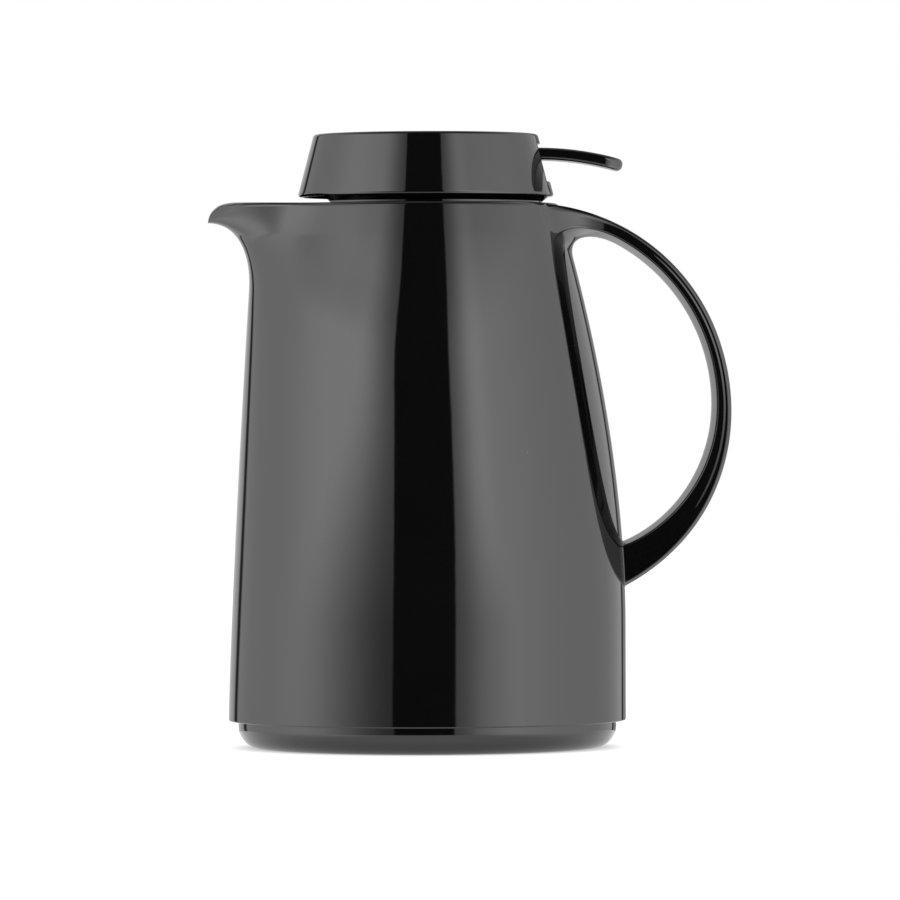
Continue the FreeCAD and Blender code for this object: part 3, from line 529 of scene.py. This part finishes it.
for share in steps(0, 1, ROOT_RINGS)[1:]:
    ring, loop = pulled_ring(mesh, loop)
    for vert in ring:
        gap = root_gaps[vert[number_layer]] * (1 - share) ** ROOT_GAP_FALL
        flare = share ** ROOT_FLARE_RISE
        vert.co = point_off_wall(vert[number_layer], *ROOT_SEARCH, gap, flare=flare)[0]
ring, loop = pulled_ring(mesh, loop)
for vert in ring:
    vert.co = point_off_wall(vert[number_layer], *ROOT_SEARCH, -ROOT_SINK, flare=1)[0]
root_height = sum(vert.co.z for vert in ring) / len(ring)
for share in ROOT_CAP_SHARES:
    ring, loop = pulled_ring(mesh, loop)
    for vert in ring:
        height = root_height + (vert.co.z - root_height) * share
        turn = atan2(vert.co.y, vert.co.x) * share
        radius = back_radius(height) - ROOT_SINK
        vert.co = (radius * cos(turn), radius * sin(turn), height)
bmesh.ops.edgeloop_fill(mesh, edges=loop)
new_piece("handle_strap", mesh, glossy_black, "jug", "handle")

# Vacuum flask: two glass bulbs, silvered on the sides that face the vacuum, and joined at the lip.
# Three pads of pressed fibre between the walls keep the inner bulb in the middle.

SILVER = (0.83, 0.84, 0.85, 1)
WARM_SILVER = (0.74, 0.72, 0.68, 1)
FIBRE_GREY = (0.3, 0.295, 0.28, 1)
FIBRE_PALE = (0.5, 0.49, 0.46, 1)


def coat(material, *names):
    """Gives nodes that keep their own shape a finished material."""
    for name in names:
        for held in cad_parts[name].material_slots:
            held.material = material


def silvered(place):
    """A mirror seen through blown glass: softly wavy, with thinner silver in cloudy patches."""
    cloud = noise(place, 45, detail=4)
    waves = noise(place, 60, stretch=(1, 1, 0.35))
    return {
        "Base Color": cloud.spread(0.45, 0.75).mixed(SILVER, WARM_SILVER),
        "Roughness": 0.04 + 0.12 * cloud * noise(place, 600),
        "Normal": bumps(place, waves, depth=0.6 * MM, strength=0.25),
    }


def pressed_fibre(place):
    """Short grey fibres, pressed flat."""
    fibres = noise(place, 1800, detail=4, stretch=(1, 1, 0.2))
    return {
        "Base Color": fibres.mixed(FIBRE_GREY, FIBRE_PALE),
        "Roughness": 0.8 + 0.15 * fibres,
        "Normal": bumps(place, fibres, depth=0.3 * MM, strength=0.7),
    }


glass_sockets = {"Metallic": 1.0, "Coat Weight": 0.6, "Coat Roughness": 0.02}
coat(finish("silvered_glass", glass_sockets, silvered), "flask_outer", "flask_inner")
coat(finish("pad_fibre", {"Specular IOR Level": 0.2}, pressed_fibre), "flask_spacers")

# Neck ring: a satin black moulding that the flask presses up against the casing's deck.
# A gasket lies on its flange and another on the mouth of the glass, both of soft grey silicone.

SATIN_BLACK = (0.012, 0.012, 0.0125, 1)
SCUFFED_BLACK = (0.026, 0.026, 0.026, 1)
SILICONE = (0.2, 0.205, 0.21, 1)
SILICONE_PALE = (0.29, 0.295, 0.3, 1)
RING_SEGMENTS = 128


def satin_moulding(place):
    """Black with the fine grain of an eroded mould, and lighter where it has been rubbed."""
    grain = noise(place, 3200)
    rubbed = noise(place, 90, detail=4).spread(0.55, 0.8)
    return {
        "Base Color": rubbed.mixed(SATIN_BLACK, SCUFFED_BLACK),
        "Roughness": 0.3 + 0.12 * grain - 0.1 * rubbed,
        "Normal": bumps(place, grain, depth=0.03 * MM, strength=0.35),
    }


def soft_silicone(place):
    """Matt and faintly clouded, with fine dust that clings to it."""
    cloud = noise(place, 140, detail=3)
    dust = specks(place, spacing=2.2 * MM, radius=0.12 * MM, share=0.2)
    return {
        "Base Color": dust.mixed(cloud.mixed(SILICONE, SILICONE_PALE), SILICONE_PALE),
        "Roughness": 0.48 + 0.14 * cloud + 0.2 * dust,
        "Normal": bumps(place, noise(place, 1500), depth=0.05 * MM, strength=0.4),
    }


stopper_black = finish("stopper_black", {"IOR": 1.49}, satin_moulding)
seal_grey = finish("seal_grey", {"IOR": 1.42}, soft_silicone)
coat(stopper_black, "neck_ring")


def add_turned(mesh, corners, segments, centre=Vector(), axis=Vector((0, 0, 1))):
    """Spins an outline round an axis. A corner is a radius, a height and, where it is round, a rounding.

    A guard line beside each rounding keeps the flats next to it flat in the gloss.
    """
    verts = [mesh.verts.new(centre + Vector((corner[0], 0, 0)) + corner[1] * axis) for corner in corners]
    pairs = list(zip(verts, verts[1:]))
    if corners[0][0] > 0:
        pairs.append((verts[-1], verts[0]))
    for pair in pairs:
        mesh.edges.new(pair)
    for vert, corner in zip(verts, corners):
        if len(corner) > 2:
            first, last = [edge.other_vert(vert).co - vert.co for edge in vert.link_edges]
            set_back = corner[2] / tan(first.angle(last) / 2)
            for edge in list(vert.link_edges):
                share = (set_back + EDGE_GUARD) / edge.calc_length()
                if share < 0.95:
                    bmesh.utils.edge_split(edge, vert, share)
            bmesh.ops.bevel(mesh, geom=[vert], offset=set_back, affect="VERTICES", profile=0.5, material=-1,
                            segments=4 + int(corner[2] / MM))
    outline = [edge for edge in mesh.edges if edge.is_wire]
    outline += {vert for edge in outline for vert in edge.verts}
    bmesh.ops.spin(mesh, geom=outline, cent=centre, axis=axis, angle=2 * pi, steps=segments, use_merge=True)


def turned_mesh(corners, segments):
    """A new mesh of one outline spun round the jug's axis."""
    mesh = bmesh.new()
    add_turned(mesh, corners, segments)
    return mesh


def soft_ring(name, node, body, inner, outer, rounding):
    """A moulded ring between two radii, as high as its node, with round edges."""
    low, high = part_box(node)
    corners = [(radius, height, rounding) for radius, height in
               ((inner, low.z), (outer, low.z), (outer, high.z), (inner, high.z))]
    return new_piece(name, turned_mesh(corners, RING_SEGMENTS), seal_grey, body, node)


soft_ring("collar_ring", "collar_seal", "jug", inner=38.5 * MM, outer=44 * MM, rounding=0.5 * MM)
soft_ring("mouth_ring", "neck_gasket", "jug", inner=27.5 * MM, outer=32 * MM, rounding=1.0 * MM)

# Base cover: a cup in the same glossy black that screws into the casing's foot and closes it.
# Three screw ramps sit on its skirt, and a silicone ring seals its shoulder.
# A cushion of black foam rubber in the cup bears the glass.

BASE_RADIUS = 66.1 * MM
BASE_ROUND = 7.5 * MM
SHOULDER_HEIGHT = 11 * MM
SKIRT_RADIUS = 63.4 * MM
SKIRT_WALL = 2.4 * MM
SKIRT_TOP = 24 * MM
SKIRT_EDGE_ROUND = 0.7 * MM
SHOULDER_ROUND = 0.2 * MM
CUP_FLOOR = 4 * MM
CUP_ROUND = 3 * MM
INNER_FOOT_RADIUS = 24 * MM
OUTER_FOOT_RADIUS = 50 * MM
FOOT_HOLLOW = 1.5 * MM
FOOT_SLOPE = 0.6 * MM
FOOT_ROUND = 0.5 * MM
BASE_RAMP_HEIGHT = CASING_FOOT + 7.5 * MM
CUSHION_RADIUS = 40 * MM
CUSHION_HOLE = 10 * MM
DISH_RADIUS = 29 * MM
DISH_DEPTH = 1.4 * MM
DISH_ROUND = 20 * MM
CUSHION_ROUND = 1.5 * MM
FOAM_BLACK = (0.014, 0.014, 0.015, 1)
FOAM_GREY = (0.035, 0.035, 0.036, 1)


def foam_rubber(place):
    """Closed cells under a dull skin."""
    cells = place.node("TexVoronoi", {"feature": "F1"}, {"Vector": place, "Scale": 900})
    return {
        "Base Color": noise(place, 200, detail=3).mixed(FOAM_BLACK, FOAM_GREY),
        "Roughness": 0.75 + 0.2 * cells,
        "Normal": bumps(place, cells, depth=0.25 * MM, strength=0.6),
    }


base_outline = [
    (0, 0), (INNER_FOOT_RADIUS - FOOT_SLOPE, 0), (INNER_FOOT_RADIUS, 0, FOOT_ROUND),
    (INNER_FOOT_RADIUS + FOOT_SLOPE, FOOT_HOLLOW, FOOT_ROUND),
    (OUTER_FOOT_RADIUS - FOOT_SLOPE, FOOT_HOLLOW, FOOT_ROUND), (OUTER_FOOT_RADIUS, 0, FOOT_ROUND),
    (BASE_RADIUS, 0, BASE_ROUND), (BASE_RADIUS, SHOULDER_HEIGHT, SHOULDER_ROUND),
    (SKIRT_RADIUS, SHOULDER_HEIGHT), (SKIRT_RADIUS, SKIRT_TOP, SKIRT_EDGE_ROUND),
    (SKIRT_RADIUS - SKIRT_WALL, SKIRT_TOP, SKIRT_EDGE_ROUND),
    (SKIRT_RADIUS - SKIRT_WALL, CUP_FLOOR, CUP_ROUND), (0, CUP_FLOOR),
]
mesh = turned_mesh(base_outline, CASING_SEGMENTS)
add_screw_ramps(mesh, SKIRT_RADIUS, SKIRT_RADIUS + RAMP_DEPTH, BASE_RAMP_HEIGHT, BASE_LEAD, BASE_RAMPS)
new_piece("base_cup", mesh, glossy_black, "base", "base_cover")
soft_ring("base_ring_seal", "base_seal", "base_ring", inner=63.7 * MM, outer=66.7 * MM, rounding=0.6 * MM)
cushion_low, cushion_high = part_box("base_cushion")
cushion_outline = [
    (CUSHION_HOLE, cushion_low.z, 0.8 * MM), (CUSHION_RADIUS, cushion_low.z, CUSHION_ROUND),
    (CUSHION_RADIUS, cushion_high.z, CUSHION_ROUND), (DISH_RADIUS, cushion_high.z - DISH_DEPTH, DISH_ROUND),
    (CUSHION_HOLE, cushion_high.z - DISH_DEPTH, 1.2 * MM),
]
foam_black = finish("foam_black", {"Specular IOR Level": 0.25}, foam_rubber)
mesh = turned_mesh(cushion_outline, RING_SEGMENTS)
new_piece("foam_cushion", mesh, foam_black, "base", "base_cushion")

# Stopper: drum, screw plug and valve seat in one polished black moulding, open towards the spout.
# The drum flares under the lid, a silicone ring seals the plug's nose, and another lies on the neck ring.

DRUM_RADIUS = 40.6 * MM
FLARE_RADIUS = 43 * MM
FLARE_LEVELS = (190.8 * MM, 192.6 * MM)
FLARE_BITE = 0.5 * MM
FLARE_START = DRUM_RADIUS + 0.2 * MM
SPOUT_CUT = 33 * MM
FLARE_STEPS = 128
coat(glossy_black, "stopper_body")
flare_low, flare_high = FLARE_LEVELS
flare_corners = [
    (DRUM_RADIUS - FLARE_BITE, flare_low), (FLARE_START, flare_low), (FLARE_RADIUS, flare_high),
    (DRUM_RADIUS - FLARE_BITE, flare_high),
]
half_cut = acos(SPOUT_CUT / DRUM_RADIUS)
mesh = bmesh.new()
cut_side = Vector((-cos(half_cut), -sin(half_cut), 0))
section = mesh.faces.new([mesh.verts.new(r * cut_side + Vector((0, 0, z))) for r, z in flare_corners])
bmesh.ops.spin(mesh, geom=[section], axis=(0, 0, 1), angle=2 * (pi - half_cut), steps=FLARE_STEPS)
drum_flare = new_object("drum_flare", mesh, glossy_black)
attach(drum_flare, "lid")
soft_ring("nose_ring", "stopper_seal", "lid", inner=29.45 * MM, outer=32.2 * MM, rounding=0.7 * MM)
soft_ring("drum_ring", "lid_gasket", "lid_ring", inner=34.8 * MM, outer=38.4 * MM, rounding=0.7 * MM)

# Lid cover: a low cone in glossy black plastic that snaps over the drum's flange.
# A slot at its back lets the thumb lever out.

lid_low, lid_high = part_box("lid_cover")
LID_RADIUS = lid_high.y + 0.3 * MM
LID_TOP_RADIUS = LID_RADIUS - 5.7 * MM
LID_FOOT = lid_low.z - 0.7 * MM
LID_WALL = 2 * MM
LID_EDGE_ROUND = 0.95 * MM
LID_LIP_ROUND = 0.3 * MM
LID_TOP_ROUND = 1.2 * MM
LID_TOP_BORDER = 5 * MM
LID_INNER_ROUND = 0.8 * MM
SLOT_LEVELS = (197.8 * MM, 210.9 * MM)
SLOT_EDGE_ROUND = 0.4 * MM
SLOT_EDGE_ANGLE = radians(60)
SLOT_MARGIN = 0.1 * MM
LID_SEGMENTS = 160
SLOT_STEPS = 6
slot_low, slot_high = SLOT_LEVELS
ceiling = lid_high.z - LID_WALL


def lid_reach(height):
    """Radius of the lid's sloping side."""
    return LID_RADIUS - (LID_RADIUS - LID_TOP_RADIUS) * (height - LID_FOOT) / (lid_high.z - LID_FOOT)


def in_slot(item_place, margin=0):
    """Whether a place on the lid lies in the slot at its back."""
    half_slot = 2 * pi * (SLOT_STEPS + 0.25) / LID_SEGMENTS
    sideways = abs(atan2(item_place.y, item_place.x)) < half_slot
    return sideways and slot_low - margin < item_place.z < slot_high + margin


lid_outline = [
    (0, ceiling), (LID_TOP_RADIUS - LID_WALL, ceiling, LID_INNER_ROUND),
    (lid_reach(slot_high) - LID_WALL, slot_high), (lid_reach(slot_low) - LID_WALL, slot_low),
    (LID_RADIUS - LID_WALL, LID_FOOT, LID_LIP_ROUND), (LID_RADIUS, LID_FOOT, LID_EDGE_ROUND),
    (lid_reach(slot_low), slot_low), (lid_reach(slot_high), slot_high),
    (LID_TOP_RADIUS, lid_high.z, LID_TOP_ROUND), (LID_TOP_RADIUS - LID_TOP_BORDER, lid_high.z),
    (0, lid_high.z),
]
mesh = turned_mesh(lid_outline, LID_SEGMENTS)
slot_faces = [face for face in mesh.faces if in_slot(face.calc_center_median())]
bmesh.ops.delete(mesh, geom=slot_faces, context="FACES")
bmesh.ops.remove_doubles(mesh, verts=mesh.verts, dist=MERGE_DISTANCE)
bmesh.ops.bridge_loops(mesh, edges=[edge for edge in mesh.edges if edge.is_boundary])
slot_edges = []
for edge in mesh.edges:
    middle = (edge.verts[0].co + edge.verts[1].co) / 2
    if in_slot(middle, SLOT_MARGIN) and edge.calc_face_angle(0) > SLOT_EDGE_ANGLE:
        slot_edges.append(edge)
bmesh.ops.bevel(mesh, geom=slot_edges, offset=SLOT_EDGE_ROUND, affect="EDGES", profile=0.5, material=-1,
                segments=2)
new_piece("lid_shell", mesh, glossy_black, "lid", "lid_cover")

# Thumb lever: a flat arm in glossy black that swings on a steel pin under the lid, and droops outside it.
# Pressed down at its tip, its arm pushes the valve's stem open.

LEVER_UNDERSIDE = 206.3 * MM
LEVER_HALF = 2.1 * MM
LEVER_HALF_WIDTH = 9 * MM
LEVER_BEND_START = 39 * MM
LEVER_BEND_RADIUS = 105 * MM
LEVER_DROOP = radians(15.2)
LEVER_TIP_LENGTH = 2.8 * MM
LEVER_SAG = 1.0 * MM
LEVER_SAG_RUN = (10 * MM, 36 * MM)
LEVER_ROOT = 2.6 * MM
LEVER_THUMB_ROUND = 7 * MM
LEVER_TOP_ROUND = 1.5 * MM
LEVER_UNDER_ROUND = 1.2 * MM
LEVER_END_ROUND = 1.9 * MM
LEVER_ROUND_LIMIT = 0.9
LEVER_RINGS = 36
LEVER_END_RINGS = 22
LEVER_END_ANGLE = 88
PIVOT = Vector((-27 * MM, 0, 208.4 * MM))
HUB_RADIUS = 3.5 * MM
HUB_BORE = 1.55 * MM
HUB_HALF_WIDTH = 14.5 * MM
HUB_EDGE_ROUND = 0.4 * MM
HUB_SEGMENTS = 48
ROUND_STEPS = 6
FACE_STEPS = 6
OBLONG_POINTS = 4 * (ROUND_STEPS + FACE_STEPS)
arm_level = LEVER_UNDERSIDE + LEVER_HALF
middle_radius = LEVER_BEND_RADIUS - LEVER_HALF
bend_length = middle_radius * LEVER_DROOP
arm_start = PIVOT.x + LEVER_ROOT
arm_length = LEVER_BEND_START - arm_start + bend_length + LEVER_TIP_LENGTH


def oblong_point(number, half_thickness, half_width, outer_round, inner_round):
    """A point of a rounded oblong: its place outwards and sideways."""
    corner, step = divmod(number, ROUND_STEPS + FACE_STEPS)
    normal = radians(90 * (corner + min(step / ROUND_STEPS, 1)))

    def on_corner(index):
        outwards = index in (0, 3)
        rounding = outer_round if outwards else inner_round
        out = (half_thickness - rounding) * (1 if outwards else -1)
        side = (half_width - rounding) * (1 if index < 2 else -1)
        return Vector((out + rounding * cos(normal), side + rounding * sin(normal)))

    share = max(0, step - ROUND_STEPS) / FACE_STEPS
    return on_corner(corner).lerp(on_corner((corner + 1) % 4), share)


def arm_frame(distance):
    """A place on the arm's middle line and the direction upwards from it, at a distance from its start."""
    past_bend = distance - (LEVER_BEND_START - arm_start)
    angle = min(max(0, past_bend) / middle_radius, LEVER_DROOP)
    straight = max(0, past_bend - bend_length)
    place = Vector((LEVER_BEND_START + min(past_bend, 0), 0, arm_level))
    place += middle_radius * Vector((sin(angle), 0, cos(angle) - 1))
    place += straight * Vector((cos(angle), 0, -sin(angle)))
    place.z -= LEVER_SAG * eased(place.x, *LEVER_SAG_RUN)
    return place, Vector((sin(angle), 0, cos(angle)))


def end_share(distance, length):
    """How far a round end of some length has closed at a distance: 1 before it, and 0 at the arm's tip."""
    inside = max(0, distance - arm_length + length) / length
    return sqrt(max(0, 1 - inside ** 2))


mesh = bmesh.new()
number_layer = mesh.verts.layers.int.new("section_point")
ring, loop = circle_loop(mesh, OBLONG_POINTS)
for number, vert in enumerate(ring):
    vert[number_layer] = number
stations = steps(0, arm_length - LEVER_THUMB_ROUND, LEVER_RINGS)
for angle in steps(0, LEVER_END_ANGLE, LEVER_END_RINGS)[1:]:
    stations.append(arm_length - LEVER_THUMB_ROUND * (1 - sin(radians(angle))))
for distance in stations:
    if distance:
        ring, loop = pulled_ring(mesh, loop)
    place, upwards = arm_frame(distance)
    half = LEVER_HALF - LEVER_END_ROUND * (1 - end_share(distance, LEVER_END_ROUND))
    half_width = LEVER_HALF_WIDTH - LEVER_THUMB_ROUND * (1 - end_share(distance, LEVER_THUMB_ROUND))
    top_round = min(LEVER_TOP_ROUND, half * LEVER_ROUND_LIMIT)
    under_round = min(LEVER_UNDER_ROUND, half * LEVER_ROUND_LIMIT)
    for vert in ring:
        out, side = oblong_point(vert[number_layer], half, half_width, top_round, under_round)
        vert.co = place + out * upwards + Vector((0, side, 0))
    if not distance:
        bmesh.ops.edgeloop_fill(mesh, edges=loop)
bmesh.ops.edgeloop_fill(mesh, edges=loop)
hub_corners = [
    (HUB_BORE, -HUB_HALF_WIDTH, HUB_EDGE_ROUND), (HUB_BORE, HUB_HALF_WIDTH, HUB_EDGE_ROUND),
    (HUB_RADIUS, HUB_HALF_WIDTH, HUB_EDGE_ROUND), (HUB_RADIUS, -HUB_HALF_WIDTH, HUB_EDGE_ROUND),
]
add_turned(mesh, hub_corners, HUB_SEGMENTS, PIVOT, Vector((0, 1, 0)))
new_piece("lever_arm", mesh, glossy_black, "lever", "thumb_lever")

STEEL = (0.62, 0.62, 0.61, 1)
DULL_STEEL = (0.45, 0.45, 0.44, 1)


def drawn_steel(place):
    """Bright wire and bar with faint drawing marks and dull patches."""
    marks = noise(place, 4000, stretch=(1, 0.1, 1))
    patches = noise(place, 250, detail=3)
    return {
        "Base Color": patches.mixed(STEEL, DULL_STEEL),
        "Roughness": 0.18 + 0.2 * marks * patches,
        "Normal": bumps(place, marks, depth=0.01 * MM, strength=0.3),
    }


spring_steel = finish("spring_steel", {"Metallic": 1.0}, drawn_steel)
coat(spring_steel, "lever_pin")

# Valve: a white stem and plate with a silicone washer under the stopper's seat, held by a steel clip.
# A coil spring of steel wire under the stem's head closes it; here it keeps its length and rides on the
# lid.

VALVE_WHITE = (0.78, 0.78, 0.75, 1)
VALVE_CREAM = (0.7, 0.68, 0.62, 1)


def white_moulding(place):
    """White plastic with a fine grain that has yellowed a little in patches."""
    grain = noise(place, 2400)
    patches = noise(place, 120, detail=3).spread(0.4, 0.75)
    return {
        "Base Color": patches.mixed(VALVE_WHITE, VALVE_CREAM),
        "Roughness": 0.32 + 0.15 * grain,
        "Normal": bumps(place, grain, depth=0.03 * MM, strength=0.3),
    }


coat(finish("valve_white", {"IOR": 1.49}, white_moulding), "valve_stem", "valve_disc")
soft_ring("valve_washer", "valve_seal", "valve", inner=2.55 * MM, outer=16.5 * MM, rounding=0.6 * MM)
coat(spring_steel, "stem_clip")

WIRE_RADIUS = 0.55 * MM
WIRE_POINTS = 14
COIL_RADIUS = 4.6 * MM
COIL_TURNS = 7
COIL_STEPS = 36 * COIL_TURNS
coil_low, coil_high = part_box("return_spring")
coil_length = coil_high.z - coil_low.z
climb = Vector((0, 0, (coil_length - 2 * WIRE_RADIUS) / COIL_STEPS))
wire_start = Vector((COIL_RADIUS, 0, coil_low.z + WIRE_RADIUS))
mesh = bmesh.new()
wire_end = bmesh.ops.create_circle(mesh, cap_ends=True, segments=WIRE_POINTS, radius=WIRE_RADIUS)["verts"]
upright = Matrix.Rotation(pi / 2, 4, "X")
bmesh.ops.transform(mesh, matrix=Matrix.Translation(wire_start) @ upright, verts=wire_end)
bmesh.ops.spin(mesh, geom=mesh.faces[:], axis=(0, 0, 1), dvec=climb, angle=2 * pi * COIL_TURNS,
               steps=COIL_STEPS)
coil = new_piece("coil_spring", mesh, spring_steel, "lid", "return_spring")
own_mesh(coil)

# Stage: a plain pale floor that glows like a lit table and runs out of sight. Its glow is painted darker in
# a soft shade under the jug, and painted brighter to the jug's sides.
# Only the part near the jug shows in its gloss.

FLOOR_RADIUS = 3.5
TABLE_RADIUS = 0.1
FLOOR_SEGMENTS = 96
# Reaches and glow levels of the floor's painted shade under the jug and of its painted light to the sides.
SHADE_REACH = (56 * MM, 73 * MM)
SIDE_START = (20 * MM, 60 * MM)
FRONT_START = (10 * MM, 60 * MM)
FOOT_REACH = 66 * MM
PAINTED_SHADE = (0.45, 0.45, 0.45, 1)
GLOW = (1, 1, 1, 1)
PAINTED_SIDE_LIGHT = (1.7, 1.7, 1.7, 1)


def painted_light_paper(place):
    """Paper that glows all over, with painted light brighter to the sides and a painted soft shade under
    the jug.
    """
    fibre = noise(place, 900, detail=3)
    reach = place.node("VectorMath", {"operation": "LENGTH"}, {0: place}, "Value")
    sideways, depth = [place.node("SeparateXYZ", inputs={0: place}, output=axis) for axis in range(2)]
    # beside: where the floor's glow is painted brighter, to the jug's sides on the camera's side, out past
    # its foot.
    beside = (sideways * sideways).spread(*[width ** 2 for width in SIDE_START])
    beside = beside * (0 - depth).spread(*FRONT_START) * reach.spread(FOOT_REACH, TABLE_RADIUS)
    return {
        "Roughness": 0.6 + 0.2 * fibre,
        "Normal": bumps(place, fibre, depth=0.05 * MM, strength=0.2),
        # Glow colour: painted shade near the foot, painted light to the sides, and plain white glow
        # elsewhere.
        "Emission Color": beside.mixed(reach.spread(*SHADE_REACH).mixed(PAINTED_SHADE, GLOW), PAINTED_SIDE_LIGHT),
    }


paper_sockets = {"Base Color": (0.1, 0.1, 0.1, 1), "Specular IOR Level": 0.1, "Emission Strength": 1.0}
paper = finish("painted_light_paper", paper_sockets, painted_light_paper)
mesh = bmesh.new()
bmesh.ops.create_circle(mesh, cap_ends=True, segments=FLOOR_SEGMENTS, radius=TABLE_RADIUS)
near_floor = new_object("near_floor", mesh, paper)
mesh = bmesh.new()
ring, loop = circle_loop(mesh, FLOOR_SEGMENTS, TABLE_RADIUS)
ring, loop = pulled_ring(mesh, loop)
bmesh.ops.scale(mesh, vec=(FLOOR_RADIUS / TABLE_RADIUS, FLOOR_RADIUS / TABLE_RADIUS, 1), verts=ring)
far_floor = new_object("far_floor", mesh, paper)
far_floor.visible_glossy = False
for sheet in (near_floor, far_floor):
    if sheet.data.polygons[0].normal.z < 0:
        sheet.data.flip_normals()

# Room: a soft studio that is white behind the jug, with a tall soft light on each side.
# The wall behind the camera is dark, and so are two narrow gaps near the back, which draw the jug's edges.
# Light is given by bearing in degrees from the camera's side, positive towards the handle.

ROOM_BRIGHTNESS = 4
ROOM_STOPS = [
    (-180, 0.55), (-168, 0.73), (-152.5, 0.7), (-150, 0.05), (-146, 0.05), (-143.5, 0.7),
    (-126, 0.98), (-103, 1.51), (-91, 1.85), (-79, 2.28), (-66, 2.62), (-40, 2.81),
    (30, 3.0), (44, 2.41), (57, 2.23), (69, 2.03), (93, 1.61), (117, 1.14), (129, 0.95),
    (150, 0.83), (154, 0.75), (155.5, 0.05), (158.5, 0.05), (160.5, 0.36), (172, 0.38), (180, 0.55),
]
LEFT_LIGHT = {
    "edge": (19.2, 20.6), "start": 18, "rise": (-0.1, 0.35), "full": (100, 46), "dim": (0.1, 0.27),
}
RIGHT_LIGHT = {
    "edge": (15.6, 17.4), "start": 14, "rise": (-0.15, 0.25), "full": (62, 38), "dim": (0.2, 0.27),
}
DARK_WALL = 0.004
UPPER_FADE = (0.38, 0.56, 1, 0.6)
TOP_FADE = (0.6, 0.8, 1, 0.05)
BACK_BEARINGS = (105, 130)
UNDER_RISE = (-0.12, -0.4, 1, 1.25)
TABLE_GLOW = 1.1
TABLE_LEVELS = (-0.3, -0.5)
CEILING_GLOW = 0.25
CEILING_LEVELS = (0.9, 0.98)
world = bpy.data.worlds.new("studio")
world.use_nodes = True
bpy.context.scene.world = world
sky = Tone(world.node_tree)
bearing = sky.node("TexCoord", output="Generated")
east, north, up = [sky.node("SeparateXYZ", inputs={0: bearing}, output=axis) for axis in range(3)]
azimuth = sky.math("ARCTAN2", east, 0 - north) * (180 / pi)
aside = sky.node("Math", {"operation": "ABSOLUTE"}, {0: azimuth})
stops = [((angle + 180) / 360, level / ROOM_BRIGHTNESS) for angle, level in ROOM_STOPS]
walls = sky.node("ValToRGB", {"stops": stops}, {0: (azimuth + 180) * (1 / 360)})


def side_light(away, edge, start, rise, full, dim):
    """A tall light by bearing: sharp at its inner edge and dim beside it, then slowly brighter.

    Between two levels of rise, its dim value and the bearing of its full light slide from first to last.
    """
    return away.spread(start, up.spread(*rise, *full), up.spread(*rise, *dim), 1) * away.spread(*edge)


lit = side_light(0 - azimuth, **LEFT_LIGHT) + side_light(azimuth, **RIGHT_LIGHT)
top = up.spread(*UPPER_FADE) * up.spread(*TOP_FADE)
walls = walls * (top + (1 - top) * aside.spread(*BACK_BEARINGS)) * up.spread(*UNDER_RISE)
room = DARK_WALL * (1 - lit) + lit * walls
room = sky.math("MAXIMUM", room, up.spread(*TABLE_LEVELS, 0, TABLE_GLOW / ROOM_BRIGHTNESS))
room = sky.math("MAXIMUM", room, up.spread(*CEILING_LEVELS, 0, CEILING_GLOW / ROOM_BRIGHTNESS))
seen = sky.node("LightPath", output="Is Camera Ray")
light = sky.node("Background", inputs={"Color": room, "Strength": ROOM_BRIGHTNESS})
backdrop = sky.node("Background", inputs={"Color": (1, 1, 1, 1), "Strength": 1.0})
both = sky.node("MixShader", inputs={0: seen, 1: light, 2: backdrop})
world.node_tree.links.new(both.socket, world.node_tree.nodes["World Output"].inputs["Surface"])

# Camera: a long lens from the side, a little above the middle of the jug.
# It is rolled by a trace, so that the jug stands a trace askew in the picture.

VIEW_DISTANCE = 2.7
VIEW_WIDTH = 315 * MM
EYE_HEIGHT = 125 * MM
AIM = Vector((8.2 * MM, 0, 104 * MM))
ROLL = radians(-0.17)
camera_data = bpy.data.cameras.new("camera")
camera_data.lens = camera_data.sensor_width * VIEW_DISTANCE / VIEW_WIDTH
camera = bpy.data.objects.new("camera", camera_data)
camera.location = (AIM.x, -VIEW_DISTANCE, EYE_HEIGHT)
aimed = (AIM - camera.location).to_track_quat("-Z", "Y")
camera.rotation_euler = (aimed @ Quaternion((0, 0, 1), ROLL)).to_euler()
bpy.context.scene.collection.objects.link(camera)
bpy.context.scene.camera = camera
bpy.context.scene.view_settings.view_transform = "Standard"
